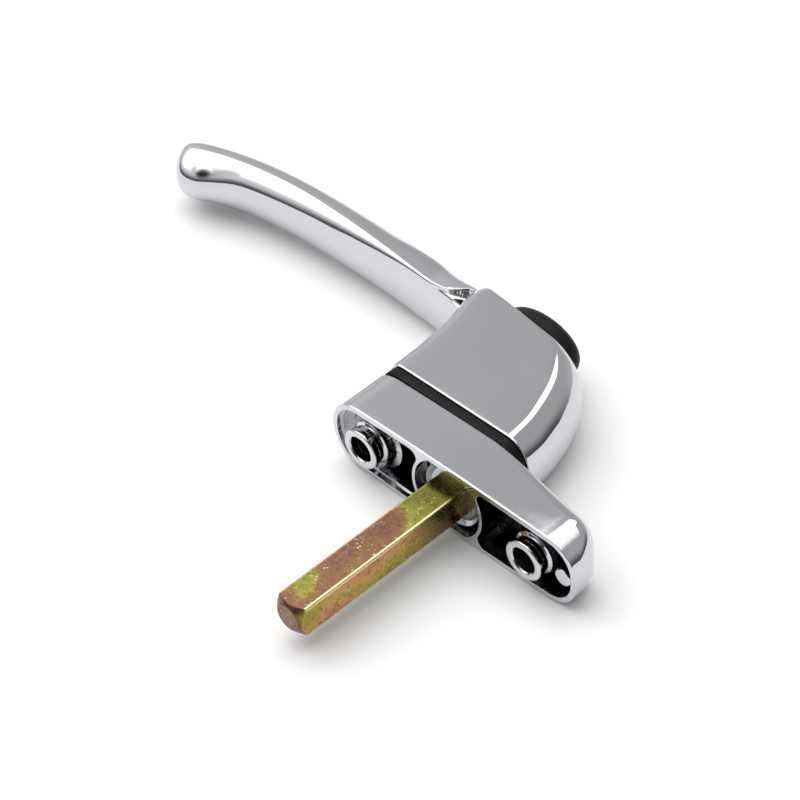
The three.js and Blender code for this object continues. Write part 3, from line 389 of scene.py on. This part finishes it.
def satin_metal(name, dark, light, rough):
    sheet = Sheet(name, Metallic=1.0)
    grain = sheet.noise(900, 4)
    stains = sheet.noise(180, 3)
    tone = sheet.blend(sheet.span(grain * 0.6 + stains * 0.4, 0.35, 0.65), dark, light)
    normal = sheet.bump(grain, 0.15, 0.0001)
    return sheet.feed(Base_Color=tone, Roughness=sheet.span(stains, 0.3, 0.7, *rough), Normal=normal)


def black_plastic(name, tone, rough, grain_scale, strength):
    sheet = Sheet(name, Metallic=0.0, IOR=1.45, Specular_IOR_Level=0.18)
    grain = sheet.noise(grain_scale, 3)
    dust = sheet.span(sheet.noise(420, 5, 0.7), 0.62, 0.8)
    colour = sheet.blend(dust * 0.3, grey(tone), grey(tone + 0.03))
    normal = sheet.bump(grain, strength, 0.00008, sheet.soft_edges(0.2 * MM))
    return sheet.feed(Base_Color=colour, Roughness=sheet.span(grain, 0.3, 0.7, *rough), Normal=normal)


FINISHES = {
    "chrome": chrome(),
    # painted shade for the base's pockets, darker with the depth
    "pocket_painted_shade": pocket_painted_shade(),
    "yellow_zinc": yellow_zinc(),
    "grey_zinc": satin_metal("grey_zinc", (0.42, 0.43, 0.44, 1), (0.62, 0.63, 0.64, 1), (0.22, 0.36)),
    "spring_steel": satin_metal("spring_steel", (0.22, 0.23, 0.25, 1), (0.40, 0.41, 0.43, 1), (0.25, 0.4)),
    "bright_steel": satin_metal("bright_steel", (0.55, 0.56, 0.58, 1), (0.72, 0.73, 0.75, 1), (0.14, 0.24)),
    "brass": satin_metal("stamped_brass", (0.52, 0.38, 0.14, 1), (0.74, 0.58, 0.27, 1), (0.2, 0.34)),
    "black_plastic": black_plastic("gasket_plastic", 0.004, (0.4, 0.55), 900.0, 0.12),
    "button_plastic": black_plastic("button_plastic", 0.007, (0.42, 0.56), 2600.0, 0.3),
}


# ---- mesh helpers

def power(value, squareness):
    return math.copysign(abs(value) ** (2 / squareness), value)


def smooth(t):
    t = min(1.0, max(0.0, t))
    return t * t * (3 - 2 * t)


def through(points, x):
    """The height at x on a smooth line through points (monotone between them)."""
    xs = [p[0] for p in points]
    if x <= xs[0]:
        return points[0][1]
    if x >= xs[-1]:
        return points[-1][1]
    k = max(i for i, value in enumerate(xs) if value <= x)
    slopes = [(points[i + 1][1] - points[i][1]) / (xs[i + 1] - xs[i]) for i in range(len(xs) - 1)]

    def tangent(i):
        if i == 0 or i == len(xs) - 1:
            return slopes[min(i, len(slopes) - 1)]
        a, b = slopes[i - 1], slopes[i]
        return 0.0 if a * b <= 0 else 2 * a * b / (a + b)

    width = xs[k + 1] - xs[k]
    t = (x - xs[k]) / width
    a, b = points[k][1], points[k + 1][1]
    return (
        a * (1 + 2 * t) * (1 - t) ** 2 + b * t * t * (3 - 2 * t)
        + tangent(k) * width * t * (1 - t) ** 2 - tangent(k + 1) * width * t * t * (1 - t)
    )


def finished(bm, name):
    """A mesh object from bm, with its faces out and smooth up to a sharp angle."""
    bmesh.ops.recalc_face_normals(bm, faces=bm.faces)
    mesh = bpy.data.meshes.new(name)
    bm.to_mesh(mesh)
    bm.free()
    mesh.shade_smooth()
    mesh.set_sharp_from_angle(angle=math.radians(35))
    made = bpy.data.objects.new(name, mesh)
    bpy.context.scene.collection.objects.link(made)
    return made


def skin(name, rings):
    """A closed skin over rings of equal counts, with a flat face at each end."""
    bm = bmesh.new()
    rows = [[bm.verts.new(place(*point)) for point in ring] for ring in rings]
    count = len(rows[0])
    for low, high in zip(rows, rows[1:]):
        for i in range(count):
            j = (i + 1) % count
            bm.faces.new((low[i], low[j], high[j], high[i]))
    bm.faces.new(list(reversed(rows[0])))
    bm.faces.new(rows[-1])
    return finished(bm, name)


def block(x0, x1, y0, y1, z0, z1):
    rings = [[(x0, y0, z), (x1, y0, z), (x1, y1, z), (x0, y1, z)] for z in (z0, z1)]
    return skin("block", rings)


def turned(profile, at=0.0, segments=72):
    """A body turned about an axis along z from (radius, height) points, low to high."""
    rings = []
    for radius, height in profile:
        angles = [2 * math.pi * i / segments for i in range(segments)]
        rings.append([(at + radius * math.cos(a), radius * math.sin(a), height) for a in angles])
    return skin("turned", rings)


def drum(radius, low, high, at=0.0, segments=72):
    return turned([(radius, low), (radius, high)], at, segments)


def prism(outline, low, high):
    return skin("prism", [[(x, y, z) for x, y in outline] for z in (low, high)])


def combine(body, tool, operation="DIFFERENCE"):
    """body with the tool cut from it or joined to it; the tool is used up."""
    modifier = body.modifiers.new("joint", "BOOLEAN")
    modifier.operation = operation
    modifier.object = tool
    modifier.solver = "EXACT"
    graph = bpy.context.evaluated_depsgraph_get()
    mesh = bpy.data.meshes.new_from_object(body.evaluated_get(graph))
    body.modifiers.remove(modifier)
    old = body.data
    body.data = mesh
    bpy.data.meshes.remove(old)
    bpy.data.meshes.remove(tool.data)
    return body


def cut(body, *tools):
    for tool in tools:
        combine(body, tool)
    return body


def join(body, *tools):
    for tool in tools:
        combine(body, tool, "UNION")
    return body


def piece(made, name, body, node, finish):
    """A finished piece: named, smooth, with its material, riding on its body."""
    made.name = name
    made.data.name = name
    made.data.shade_smooth()
    made.data.set_sharp_from_angle(angle=math.radians(32))
    made.data.materials.clear()
    made.data.materials.append(FINISHES[finish])
    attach(made, body)
    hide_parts(node)
    return made


# ---- base plate

def base_half_width(x, inset=0.0):
    middle = BASE_HALF_LENGTH - END_LENGTH
    along = abs(x - BASE_CENTRE)
    if along <= middle:
        return BASE_HALF - SIDE_BOW * (along / middle) ** 2 - inset
    share = min(1.0, (along - middle) / (END_LENGTH - inset))
    return (BASE_HALF - SIDE_BOW - inset) * (1 - share ** END_SQUARENESS) ** (1 / END_SQUARENESS)


def base_top(x):
    line = [(BASE_NOSE + along, BASE_DEPTH - drop) for along, drop in NOSE_DROPS]
    line.append((SLOPE_START - SLOPE_LENGTH, BASE_DEPTH - SLOPE_FALL))
    line.append((SLOPE_START, BASE_DEPTH))
    inner = max(0.0, BASE_TAIL - x)
    if inner < EDGE_RADIUS:
        return BASE_DEPTH - EDGE_RADIUS + math.sqrt(EDGE_RADIUS ** 2 - (EDGE_RADIUS - inner) ** 2)
    return BASE_DEPTH if x >= SLOPE_START else through(line, x)


def base_stations(inset):
    end_steps = 26
    middle = BASE_HALF_LENGTH - END_LENGTH
    half = [middle * i / 20 for i in range(20)]
    reach = END_LENGTH - inset
    half += [middle + reach * math.sin(math.pi / 2 * i / end_steps) for i in range(end_steps + 1)]
    return [BASE_CENTRE - x for x in reversed(half)] + [BASE_CENTRE + x for x in half[1:]]


def base_outline(inset):
    near = [(x, base_half_width(x, inset)) for x in base_stations(inset)]
    return near + [(x, -y) for x, y in reversed(near[1:-1])]


def base_section(x):
    slope = smooth((SLOPE_START - x) / NOSE_EDGE_LENGTH)
    half = max(base_half_width(x), 0.02)
    top = base_top(x)
    radius = min(EDGE_RADIUS + (NOSE_EDGE_RADIUS - EDGE_RADIUS) * slope, half * 0.9)
    rim = min(RIM_EDGE, half * 0.5)
    corner = [math.pi / 2 * i / 9 for i in range(10)]
    foot = [(half - rim + rim * math.sin(a), rim - rim * math.cos(a)) for a in corner[::3]]
    side = [(half - radius + radius * math.cos(a), top - radius + radius * math.sin(a)) for a in corner]
    flat = [(half, rim + (top - radius - rim) * share) for share in (0.02, 0.5, 0.98)]
    line = foot + flat + side
    return [(x, y, z) for y, z in line] + [(x, -y, z) for y, z in reversed(line)]


def partition_outline(radius, beyond):
    """The wall round the spindle chamber, which flares into the side walls."""
    wall = BASE_HALF - RIM_WALL - 0.05
    reach = radius + PARTITION_FILLET
    centre_y = wall - PARTITION_FILLET
    centre_x = math.sqrt(reach ** 2 - centre_y ** 2)
    meet = math.atan2(-centre_y, -centre_x)
    flare = []
    for i in range(11):
        angle = math.pi / 2 + (meet + 2 * math.pi - math.pi / 2) * i / 10
        x = centre_x + PARTITION_FILLET * math.cos(angle)
        flare.append((x, centre_y + PARTITION_FILLET * math.sin(angle)))
    start = math.atan2(centre_y, centre_x)
    turns = [start * (1 - i / 8) for i in range(1, 8)]
    round_part = [(radius * math.cos(a), radius * math.sin(a)) for a in turns]
    quarter = [(centre_x, wall + beyond)] + flare + round_part + [(radius, 0.0)]
    lower = [(x, -y) for x, y in reversed(quarter[:-1])]
    right = quarter + lower
    return right + [(-x, y) for x, y in reversed(right)]


def screw_boss(at):
    """The end ring, the groove behind it and the flare at the boss's root."""
    flare = 5.5 if at < 0 else 5.1
    level = 3.4 if at < 0 else PLATEAU_LEVEL + 0.05
    top = BASE_DEPTH - 2.6
    edge = 0.18
    profile = [
        (BOSS_RADIUS - edge, BOSS_FOOT), (BOSS_RADIUS, BOSS_FOOT + edge),
        (BOSS_RADIUS, -0.55), (BOSS_NECK, -0.25), (BOSS_NECK, 0.75),
        (BOSS_RADIUS + 0.25, 1.15), (BOSS_RADIUS + 0.3, 1.7), (flare, level), (flare, top),
    ]
    return turned(profile, at, 96)


def screw_bore(at):
    top = base_top(at)
    shoulder = top - SCREW_HEAD_DEPTH
    profile = [
        (SCREW_HOLE + 0.3, BOSS_FOOT - 0.05), (SCREW_HOLE, BOSS_FOOT + 0.3), (SCREW_HOLE, shoulder),
        (SCREW_HEAD, top - 0.01), (SCREW_HEAD, top + OVERCUT),
    ]
    return turned([(SCREW_HOLE + 0.3, BOSS_FOOT - OVERCUT)] + profile, at, 64)


def pocket(outline, low, high, towards):
    """A pocket of the base on one side of the chamber: towards is 1 for the tail."""
    hollow = prism(outline, low, high)
    half = block(0, 60 * towards, -20, 20, low - 1, high + 1)
    return combine(hollow, half, "INTERSECT")


def build_base_plate():
    body = skin("base", [base_section(x) for x in base_stations(0.0)])
    inner, ledge = base_outline(RIM_WALL), base_outline(RIM_WALL + LEDGE_WIDTH)
    partition = partition_outline(PARTITION_RADIUS, OVERCUT)
    tail = pocket(ledge, -OVERCUT, TAIL_ROOF, 1)
    cut(tail, prism(partition, -OVERCUT - 1, BASE_DEPTH))
    cut(tail, drum(PLATEAU_RADIUS, PLATEAU_LEVEL, BASE_DEPTH, SCREW_AT, 96))
    cut(tail, block(SCREW_AT, BASE_TAIL, -20, 20, PLATEAU_LEVEL, BASE_DEPTH))
    step = pocket(inner, -OVERCUT, LEDGE_DEPTH, 1)
    cut(step, prism(partition, -OVERCUT - 1, BASE_DEPTH))
    nose = pocket(inner, -OVERCUT, NOSE_ROOF, -1)
    cut(nose, prism(partition, -OVERCUT - 1, BASE_DEPTH))
    peg_at = BASE_NOSE + RIM_WALL + PEG_GAP + PEG_RADIUS
    peg = [(PEG_RADIUS - 0.15, 0), (PEG_RADIUS, 0.15), (PEG_RADIUS, BASE_DEPTH)]
    cut(nose, turned(peg, peg_at, 48))
    chamber = prism(inner, -OVERCUT, CHAMBER_LEVEL)
    combine(chamber, drum(CHAMBER_RADIUS, -OVERCUT - 1, BASE_DEPTH), "INTERSECT")
    along, across = SPRING_ROOM_HALF_LENGTH, BASE_HALF - RIM_WALL
    spring_room = block(-along, along, -across, across, CHAMBER_LEVEL - 0.1, SPRING_ROOM_LEVEL)
    combine(spring_room, drum(CHAMBER_RADIUS, 0, BASE_DEPTH), "INTERSECT")
    cut(body, tail, step, nose, chamber, spring_room)
    for at in (SCREW_AT, -SCREW_AT):
        join(body, screw_boss(at))
        cut(body, screw_bore(at))
    cut(body, drum(ROTOR_RADIUS + 0.1, CHAMBER_LEVEL - 0.5, BASE_DEPTH + OVERCUT))
    cut(body, drum(PIN_RADIUS + 0.2, CHAMBER_LEVEL + 0.1, BASE_DEPTH + OVERCUT, PIN_AT, 32))
    made = piece(body, "base_casting", "base", "base_plate", "chrome")
    darken_pockets(made)


def darken_pockets(made):
    """The painted pocket shade on the faces inside the base, past its rim, bosses and chamber."""
    # The second material paints shade into the pockets.
    made.data.materials.append(FINISHES["pocket_painted_shade"])
    for face in made.data.polygons:
        x, y, z = face.center.x / MM, face.center.z / MM, -face.center.y / MM
        inside = abs(y) < base_half_width(x, RIM_WALL) + 0.03 and 0.05 < z < base_top(x) - 1
        on_boss = math.hypot(abs(x) - SCREW_AT, y) < BOSS_RADIUS + 0.5 and z < 2.2
        in_chamber = abs(x) < PARTITION_RADIUS - 0.3
        on_plateau = x > SCREW_AT - 4 and z < PLATEAU_LEVEL + 0.1
        if inside and not (on_boss or on_plateau or in_chamber):
            face.material_index = 1


# ---- lever

def hub_outline(height, inset=0.0):
    nose, side, back = (through([(ring[0], ring[k]) for ring in HUB_RINGS], height) for k in (1, 2, 3))
    half = HUB_HALF - inset
    points = []
    for i in range(73):
        angle = math.pi / 2 + math.pi * i / 72
        x = side + (side - nose - inset) * power(math.cos(angle), 2.1)
        points.append((x, half * power(math.sin(angle), 2.1)))
    for i in range(1, 12):
        points.append((side + (back - HUB_CORNER - inset - side) * i / 12, -half))
    for edge in (-1, 1):
        for i in range(13):
            angle = (math.pi / 24) * i - (math.pi / 2 if edge < 0 else 0)
            x = back - inset - HUB_CORNER + HUB_CORNER * math.cos(angle)
            points.append((x, edge * (half - HUB_CORNER) + HUB_CORNER * math.sin(angle)))
    for i in range(11, 0, -1):
        points.append((side + (back - HUB_CORNER - inset - side) * i / 12, half))
    return points


hub_outlines = {}


def stored_outline(height, inset):
    """The hub's outline at a height, kept for the rings that ask for it again."""
    key = (round(height, 3), inset)
    if key not in hub_outlines:
        hub_outlines[key] = hub_outline(height, inset)
    return hub_outlines[key]


def hub_level(share, x):
    return HUB_FOOT + share * (through(HUB_TOP, x) - HUB_FOOT)


def hub_ring(share, inset=0.0, drop=0.0):
    """One ring of the hub's skin, a share of the way from its foot to its room face.

    A point's place depends on its height and the other way round, so a few rounds settle them.
    """
    ring = []
    for i, (x, y) in enumerate(hub_outline(HUB_FOOT, inset)):
        for _ in range(6):
            x, y = stored_outline(hub_level(share, x), inset)[i]
        ring.append((x, y, hub_level(share, x) - drop))
    return ring


def oval_point(point, length, width):
    """The point of the button's oval in the same direction from its centre."""
    dx, dy = point[0] - BUTTON_CENTRE, point[1]
    reach = 1 / math.sqrt((dx / length) ** 2 + (dy / width) ** 2)
    return BUTTON_CENTRE + dx * reach, dy * reach


def build_hub():
    corner = [math.pi / 2 * i / 6 for i in range(7)]
    rings = []
    for a in corner[:-1]:
        inset = HUB_FOOT_EDGE * (1 - math.sin(a))
        lift = HUB_FOOT_EDGE * (1 - math.cos(a))
        rings.append([(x, y, HUB_FOOT + lift) for x, y in hub_outline(HUB_FOOT, inset)])
    rings += [hub_ring(0.012 + 0.965 * i / 30) for i in range(31)]
    for a in corner[1:]:
        rings.append(hub_ring(1.0, HUB_EDGE * (1 - math.cos(a)), HUB_EDGE * (1 - math.sin(a))))
    edge = rings[-1]
    length, width = BUTTON_HALF_LENGTH + WELL_CLEAR, BUTTON_HALF + WELL_CLEAR
    for i in range(1, 7):
        ring = []
        for x, y, z in edge:
            wx, wy = oval_point((x, y), length + WELL_EDGE, width + WELL_EDGE)
            px, py = x + (wx - x) * i / 6, y + (wy - y) * i / 6
            ring.append((px, py, through(HUB_TOP, px)))
        rings.append(ring)
    lip = rings[-1]
    for a in corner[1:]:
        inset = WELL_EDGE * (1 - math.sin(a))
        fall = WELL_EDGE * (1 - math.cos(a))
        oval = (length + inset, width + inset)
        rings.append([(*oval_point(point, *oval), through(HUB_TOP, point[0]) - fall) for point in lip])
    rings.append([(x, y, WELL_FLOOR) for x, y, _ in rings[-1]])
    return skin("hub", rings)


def spline(points, t):
    """A smooth line through points (Catmull-Rom), t from 0 to the last index."""
    k = min(int(t), len(points) - 2)
    s = t - k
    last = len(points) - 1
    a, b, c, d = (Vector(points[min(max(n, 0), last)]) for n in (k - 1, k, k + 1, k + 2))
    if k == 0:
        a = 2 * b - c
    if k + 2 > last:
        d = 2 * c - b
    bend = 2 * a - 5 * b + 4 * c - d
    twist = 3 * b - a - 3 * c + d
    return 0.5 * (2 * b + (c - a) * s + bend * s * s + twist * s ** 3)


def arch(squareness, upright=14, crown=26):
    """Half a squared oval, from (1, 0) over (0, 1) almost to (-1, 0), as (across, share) points."""
    def partner(value):
        return (1 - min(1.0, abs(value)) ** squareness) ** (1 / squareness)

    knee = 0.8
    rise = [(partner(knee * i / upright), knee * i / upright) for i in range(upright)]
    crest = [partner(knee) * math.cos(math.pi * i / crown) for i in range(crown + 1)]
    return rise + [(y, partner(y)) for y in crest] + [(-y, s) for y, s in reversed(rise[1:])]


def shoulder(x, share, width):
    """How far the grip's flat side widens towards the hub, above a ridge that falls away from it."""
    ridge = 0.5 * (RIDGE_END - x) / (RIDGE_END - SHOULDER_START)
    reach = 1 - smooth((x - SHOULDER_START) / (SHOULDER_END - SHOULDER_START)) ** 0.8
    return max(0.0, HUB_HALF - 0.03 - width) * reach * smooth((share - ridge) / 0.14 + 0.5)


def grip_ring(t):
    room, middle, sash = (spline([station[n] for station in GRIP_STATIONS], t) for n in range(3))
    width = spline([(station[3], 0) for station in GRIP_STATIONS], t).x
    near_hub, far_out = GRIP_UPPER_SQUARENESS
    ring = []
    for across, share in arch(near_hub + (far_out - near_hub) * smooth((middle.x - 42) / 18)):
        point = middle.lerp(room, share)
        ring.append((point.x, (width + shoulder(point.x, share, width)) * across, point.y))
    for across, share in arch(GRIP_LOWER_SQUARENESS):
        point = middle.lerp(sash, share)
        ring.append((point.x, -(width + shoulder(point.x, -share, width)) * across, point.y))
    return ring


def build_grip():
    last = len(GRIP_STATIONS) - 1
    first = (GRIP_START - GRIP_STATIONS[0][0][0]) / (GRIP_STATIONS[1][0][0] - GRIP_STATIONS[0][0][0])
    near, far = 64, 130
    rings = [grip_ring(first + (3 - first) * i / near) for i in range(near)]
    rings += [grip_ring(3 + (last - 3) * (1 - (1 - i / far) ** 1.2)) for i in range(far + 1)]
    end = rings[-1]
    middle = [sum(point[k] for point in end) / len(end) for k in range(3)]
    for share in (0.72, 0.45, 0.2):
        bulge = 0.12 * (1 - share ** 2)
        ring = []
        for point in end:
            x, y, z = (m + (value - m) * share for m, value in zip(middle, point))
            ring.append((x + bulge, y, z))
        rings.append(ring)
    return skin("grip", rings)


def build_lever():
    body = join(build_hub(), build_grip())
    for edge in (-1, 1):
        apex, *corners = (Vector((x, y * edge, z)) for x, y, z in [PIT_APEX, *PIT_CORNERS])
        cut(body, skin("pit", [[apex.lerp(corner, reach) for corner in corners] for reach in PIT_REACHES]))
    cut(body, drum(ROTOR_RADIUS + CLEAR, HUB_FOOT - 1, ROTOR_TOP + 2 * CLEAR, 0, 96))
    cut(body, drum(PIN_RADIUS + 0.1, HUB_FOOT - 1, WELL_FLOOR + 1, PIN_AT, 32))
    cut(body, drum(SPRING_RADIUS + 0.3, SPRING_FLOOR - 0.12, WELL_FLOOR + 1, PIN_AT, 32))
    tongue = TONGUE_HALF + 0.2
    cut(body, block(BUTTON_CENTRE, CATCH_TIP + 0.2, -tongue, tongue, CATCH_LOW - 3.7, CATCH_HIGH + 0.2))
    return piece(body, "lever_casting", "lever", "lever_handle", "chrome")


# ---- gasket, spindle and button

def build_gasket():
    inset = HUB_HALF - GASKET_HALF
    edge = GASKET_EDGE
    corner = [math.pi / 2 * i / 4 for i in range(5)]
    rings = [(inset + edge * (1 - math.sin(a)), GASKET_FOOT + edge * (1 - math.cos(a))) for a in corner]
    rings += [(inset + edge * (1 - math.cos(a)), GASKET_TOP - edge * (1 - math.sin(a))) for a in corner]
    body = skin("gasket", [[(x, y, z) for x, y in hub_outline(HUB_FOOT, d)] for d, z in rings])
    cut(body, drum(ROTOR_RADIUS + CLEAR, GASKET_FOOT - 1, GASKET_TOP + 1, 0, 96))
    cut(body, drum(PIN_RADIUS + 0.1, GASKET_FOOT - 1, GASKET_TOP + 1, PIN_AT, 32))
    return piece(body, "slide_gasket", "lever", "hub_gasket", "black_plastic")


def build_spindle():
    corner = SPINDLE_CORNER
    inside = SPINDLE_HALF - corner
    outline = []
    for quarter, (x_side, y_side) in enumerate(((1, 1), (-1, 1), (-1, -1), (1, -1))):
        for i in range(9):
            angle = math.pi / 2 * (quarter + i / 8)
            x = x_side * inside + corner * math.cos(angle)
            outline.append((x, y_side * inside + corner * math.sin(angle)))
    bar = prism(outline, SPINDLE_TIP, SPINDLE_END)
    reach = SPINDLE_HALF * math.sqrt(2)
    profile = [(radius, SPINDLE_TIP + height) for radius, height in SPINDLE_CHAMFER]
    profile += [(reach, SPINDLE_TIP + SPINDLE_CHAMFER_LENGTH), (reach, SPINDLE_END + 1)]
    combine(bar, turned(profile, 0, 96), "INTERSECT")
    return piece(bar, "square_spindle", "lever", "spindle", "yellow_zinc")


def button_ring(inset, height):
    ring = []
    for i in range(96):
        angle = 2 * math.pi * i / 96
        x = BUTTON_CENTRE + (BUTTON_HALF_LENGTH - inset) * math.cos(angle)
        ring.append((x, (BUTTON_HALF - inset) * math.sin(angle), height))
    return ring


def build_button():
    rings = [button_ring(BUTTON_HEM, BUTTON_FOOT), button_ring(0, BUTTON_FOOT + BUTTON_HEM)]
    for i in range(17):
        angle = math.pi / 2 * i / 16
        height = BUTTON_TOP - BUTTON_DOME + BUTTON_DOME * math.sin(angle)
        rings.append(button_ring(BUTTON_DOME * (1 - math.cos(angle)), height))
    body = skin("button", rings)
    bore = BARREL_RADIUS - BARREL_OVERLAP
    mouth = [(bore, CATCH_HIGH), (bore, BUTTON_TOP - 0.2), (bore - BARREL_LIP, BUTTON_TOP + 0.05)]
    cut(body, turned(mouth, BUTTON_CENTRE))
    cut(body, drum(PIN_RADIUS + CLEAR, BUTTON_FOOT - 1, PIN_HEAD + CLEAR, PIN_AT, 32))
    room = CATCH_HALF + CATCH_GAP
    tongue = TONGUE_HALF + CATCH_GAP
    low, high = CATCH_LOW - CATCH_GAP, CATCH_HIGH + CATCH_GAP
    cut(body, block(CATCH_BACK - 1.7, BUTTON_CENTRE + 3.4, -room, room, low, high))
    cut(body, block(BUTTON_CENTRE, CATCH_TIP + 1, -tongue, tongue, low, high))
    return piece(body, "push_button", "button", "button_cap", "button_plastic")


def coil_tree():
    """A wound wire: a spiral along the spring's axis with a round wire along it."""
    group = bpy.data.node_groups.new("wound_coil", "GeometryNodeTree")
    kinds = {"Turns": "Float", "Coil radius": "Float", "Wire radius": "Float", "Length": "Float",
             "Foot": "Vector", "Finish": "Material"}
    keys = {}
    for name, kind in kinds.items():
        socket = group.interface.new_socket(name, in_out="INPUT", socket_type="NodeSocket" + kind)
        keys[name] = socket.identifier
    group.interface.new_socket("Coil", in_out="OUTPUT", socket_type="NodeSocketGeometry")
    coil = Tree(group)
    given = group.nodes.new("NodeGroupInput")
    size = {name: Socket(coil, given.outputs[name]) for name in kinds}
    spiral = coil.node("GeometryNodeCurveSpiral", None, {
        "Resolution": 40, "Rotations": size["Turns"], "Start Radius": size["Coil radius"],
        "End Radius": size["Coil radius"], "Height": size["Length"],
    })
    section = coil.node("GeometryNodeCurvePrimitiveCircle", None, {
        "Resolution": 12, "Radius": size["Wire radius"],
    })
    wire = coil.node("GeometryNodeCurveToMesh", None, {
        "Curve": spiral, "Profile Curve": section, "Fill Caps": True,
    })
    stood = coil.node("GeometryNodeTransform", None, {
        "Geometry": wire, "Translation": size["Foot"], "Rotation": (math.pi / 2, 0, 0),
    })
    real = coil.node("GeometryNodeRealizeInstances", None, {"Geometry": stood})
    painted = coil.node("GeometryNodeSetMaterial", None, {"Geometry": real, "Material": size["Finish"]})
    end = group.nodes.new("NodeGroupOutput")
    coil.link(painted, end.inputs["Coil"])
    return group, keys


def build_return_spring():
    group, keys = coil_tree()
    made = bpy.data.objects.new("coil", bpy.data.meshes.new("coil"))
    bpy.context.scene.collection.objects.link(made)
    modifier = made.modifiers.new("winding", "NODES")
    modifier.node_group = group
    wire = SPRING_WIRE / 2
    sizes = {
        "Turns": SPRING_TURNS,
        "Coil radius": (SPRING_RADIUS - wire) * MM,
        "Wire radius": wire * MM,
        "Length": (SPRING_HEAD - SPRING_FLOOR - SPRING_WIRE) * MM,
        "Foot": place(PIN_AT, 0, SPRING_FLOOR + wire),
        "Finish": FINISHES["spring_steel"],
    }
    for name, value in sizes.items():
        modifier[keys[name]] = value
    graph = bpy.context.evaluated_depsgraph_get()
    mesh = bpy.data.meshes.new_from_object(made.evaluated_get(graph))
    made.modifiers.remove(modifier)
    made.data = mesh
    spring = piece(made, "wound_spring", "lever", "return_spring", "spring_steel")
    push = next(joint for joint in frame["record"]["behaviour"]["joints"] if joint["name"] == "button_push")
    length = SPRING_HEAD - SPRING_FLOOR
    stroke = push["range_m"][1] / MM
    foot = place(PIN_AT, 0, SPRING_FLOOR)
    (length - stroke) / length
    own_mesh(spring)


build_base_plate()
build_lever()
build_gasket()
build_spindle()
build_button()
build_return_spring()

# ---- finishes of the parts that keep their CAD shape

for part in frame["record"]["subparts"]:
    node = frame["nodes"][part["node"]]
    node.data.materials.clear()
    node.data.materials.append(FINISHES[part["material_slot"]])


# ---- floor, light and camera

def build_floor():
    bm = bmesh.new()
    corners = [(-1, -1), (1, -1), (1, 1), (-1, 1)]
    bm.faces.new([bm.verts.new((x * FLOOR_REACH, y * FLOOR_REACH, FLOOR_LEVEL * MM)) for x, y in corners])
    made = finished(bm, "pale_floor")
    sheet = Sheet("pale_floor", Roughness=0.6)
    tone = sheet.blend(sheet.noise(6, 2), grey(0.86), grey(0.9))
    made.data.materials.append(sheet.feed(Base_Color=tone))


def build_light():
    """A white studio: a wide overhead softbox, grey walls, a dark band low down and the dark lens."""
    world = bpy.data.worlds.new("studio")
    bpy.context.scene.world = world
    world.use_nodes = True
    studio = Tree(world.node_tree)
    direction = studio.node("ShaderNodeTexCoord", output="Generated")
    x, y, z = studio.axes(direction)
    walls = studio.larger(0.6 + (x - 0.53) * 0.6 + (y + 0.5) * 0.35, 0.5)
    low_band = studio.span(x - y, 0.2, 0.9, 0.1, 0.6)
    above = studio.span(z, 0.05, 0.5)
    glow = low_band + (walls - low_band) * above
    height = studio.larger(z, 0.05)
    along = studio.node("ShaderNodeMath", {"operation": "DIVIDE"}, {0: x, 1: height})
    across = studio.node("ShaderNodeMath", {"operation": "DIVIDE"}, {0: y, 1: height})
    across = across + studio.span(along, 0.6, 0.48, 0.0, 0.55) * studio.span(along, 0.12, 0.3)
    box = studio.span(along, -0.6, -0.3) * studio.span(along, 1.9, 1.6)
    box = box * studio.span(across, -0.68, -0.52) * studio.span(across, 1.6, 0.45)
    lens = {0: direction, 1: LENS_DIRECTION}
    towards_lens = studio.node("ShaderNodeVectorMath", {"operation": "DOT_PRODUCT"}, lens, "Value")
    dark = studio.span(towards_lens, 0.8, 0.93)
    radiance = (glow + box * SOFTBOX_POWER) * (1 - dark * 0.95)
    seen = studio.node("ShaderNodeLightPath", output="Is Camera Ray")
    shown = studio.node("ShaderNodeMix", {"data_type": "FLOAT"}, {0: seen, 2: radiance, 3: 0.95})
    studio.link(shown, studio.tree.nodes["Background"].inputs["Strength"])
    studio.tree.nodes["Background"].inputs["Color"].default_value = (1, 1, 1, 1)


def build_camera():
    camera = bpy.data.cameras.new("camera")
    camera.sensor_width = CAMERA_SENSOR
    camera.lens = CAMERA_LENS
    eye = bpy.data.objects.new("camera", camera)
    bpy.context.scene.collection.objects.link(eye)
    forward = Vector(CAMERA_FORWARD).normalized()
    right = forward.cross(Vector(CAMERA_TOP)).normalized()
    up = right.cross(forward)
    turn = Matrix((right, up, -forward)).transposed().to_4x4()
    eye.matrix_world = Matrix.Translation(CAMERA_PLACE) @ turn
    camera.clip_start, camera.clip_end = 0.01, 20
    bpy.context.scene.camera = eye


build_floor()
build_light()
build_camera()
bpy.context.scene.view_settings.view_transform = "Standard"
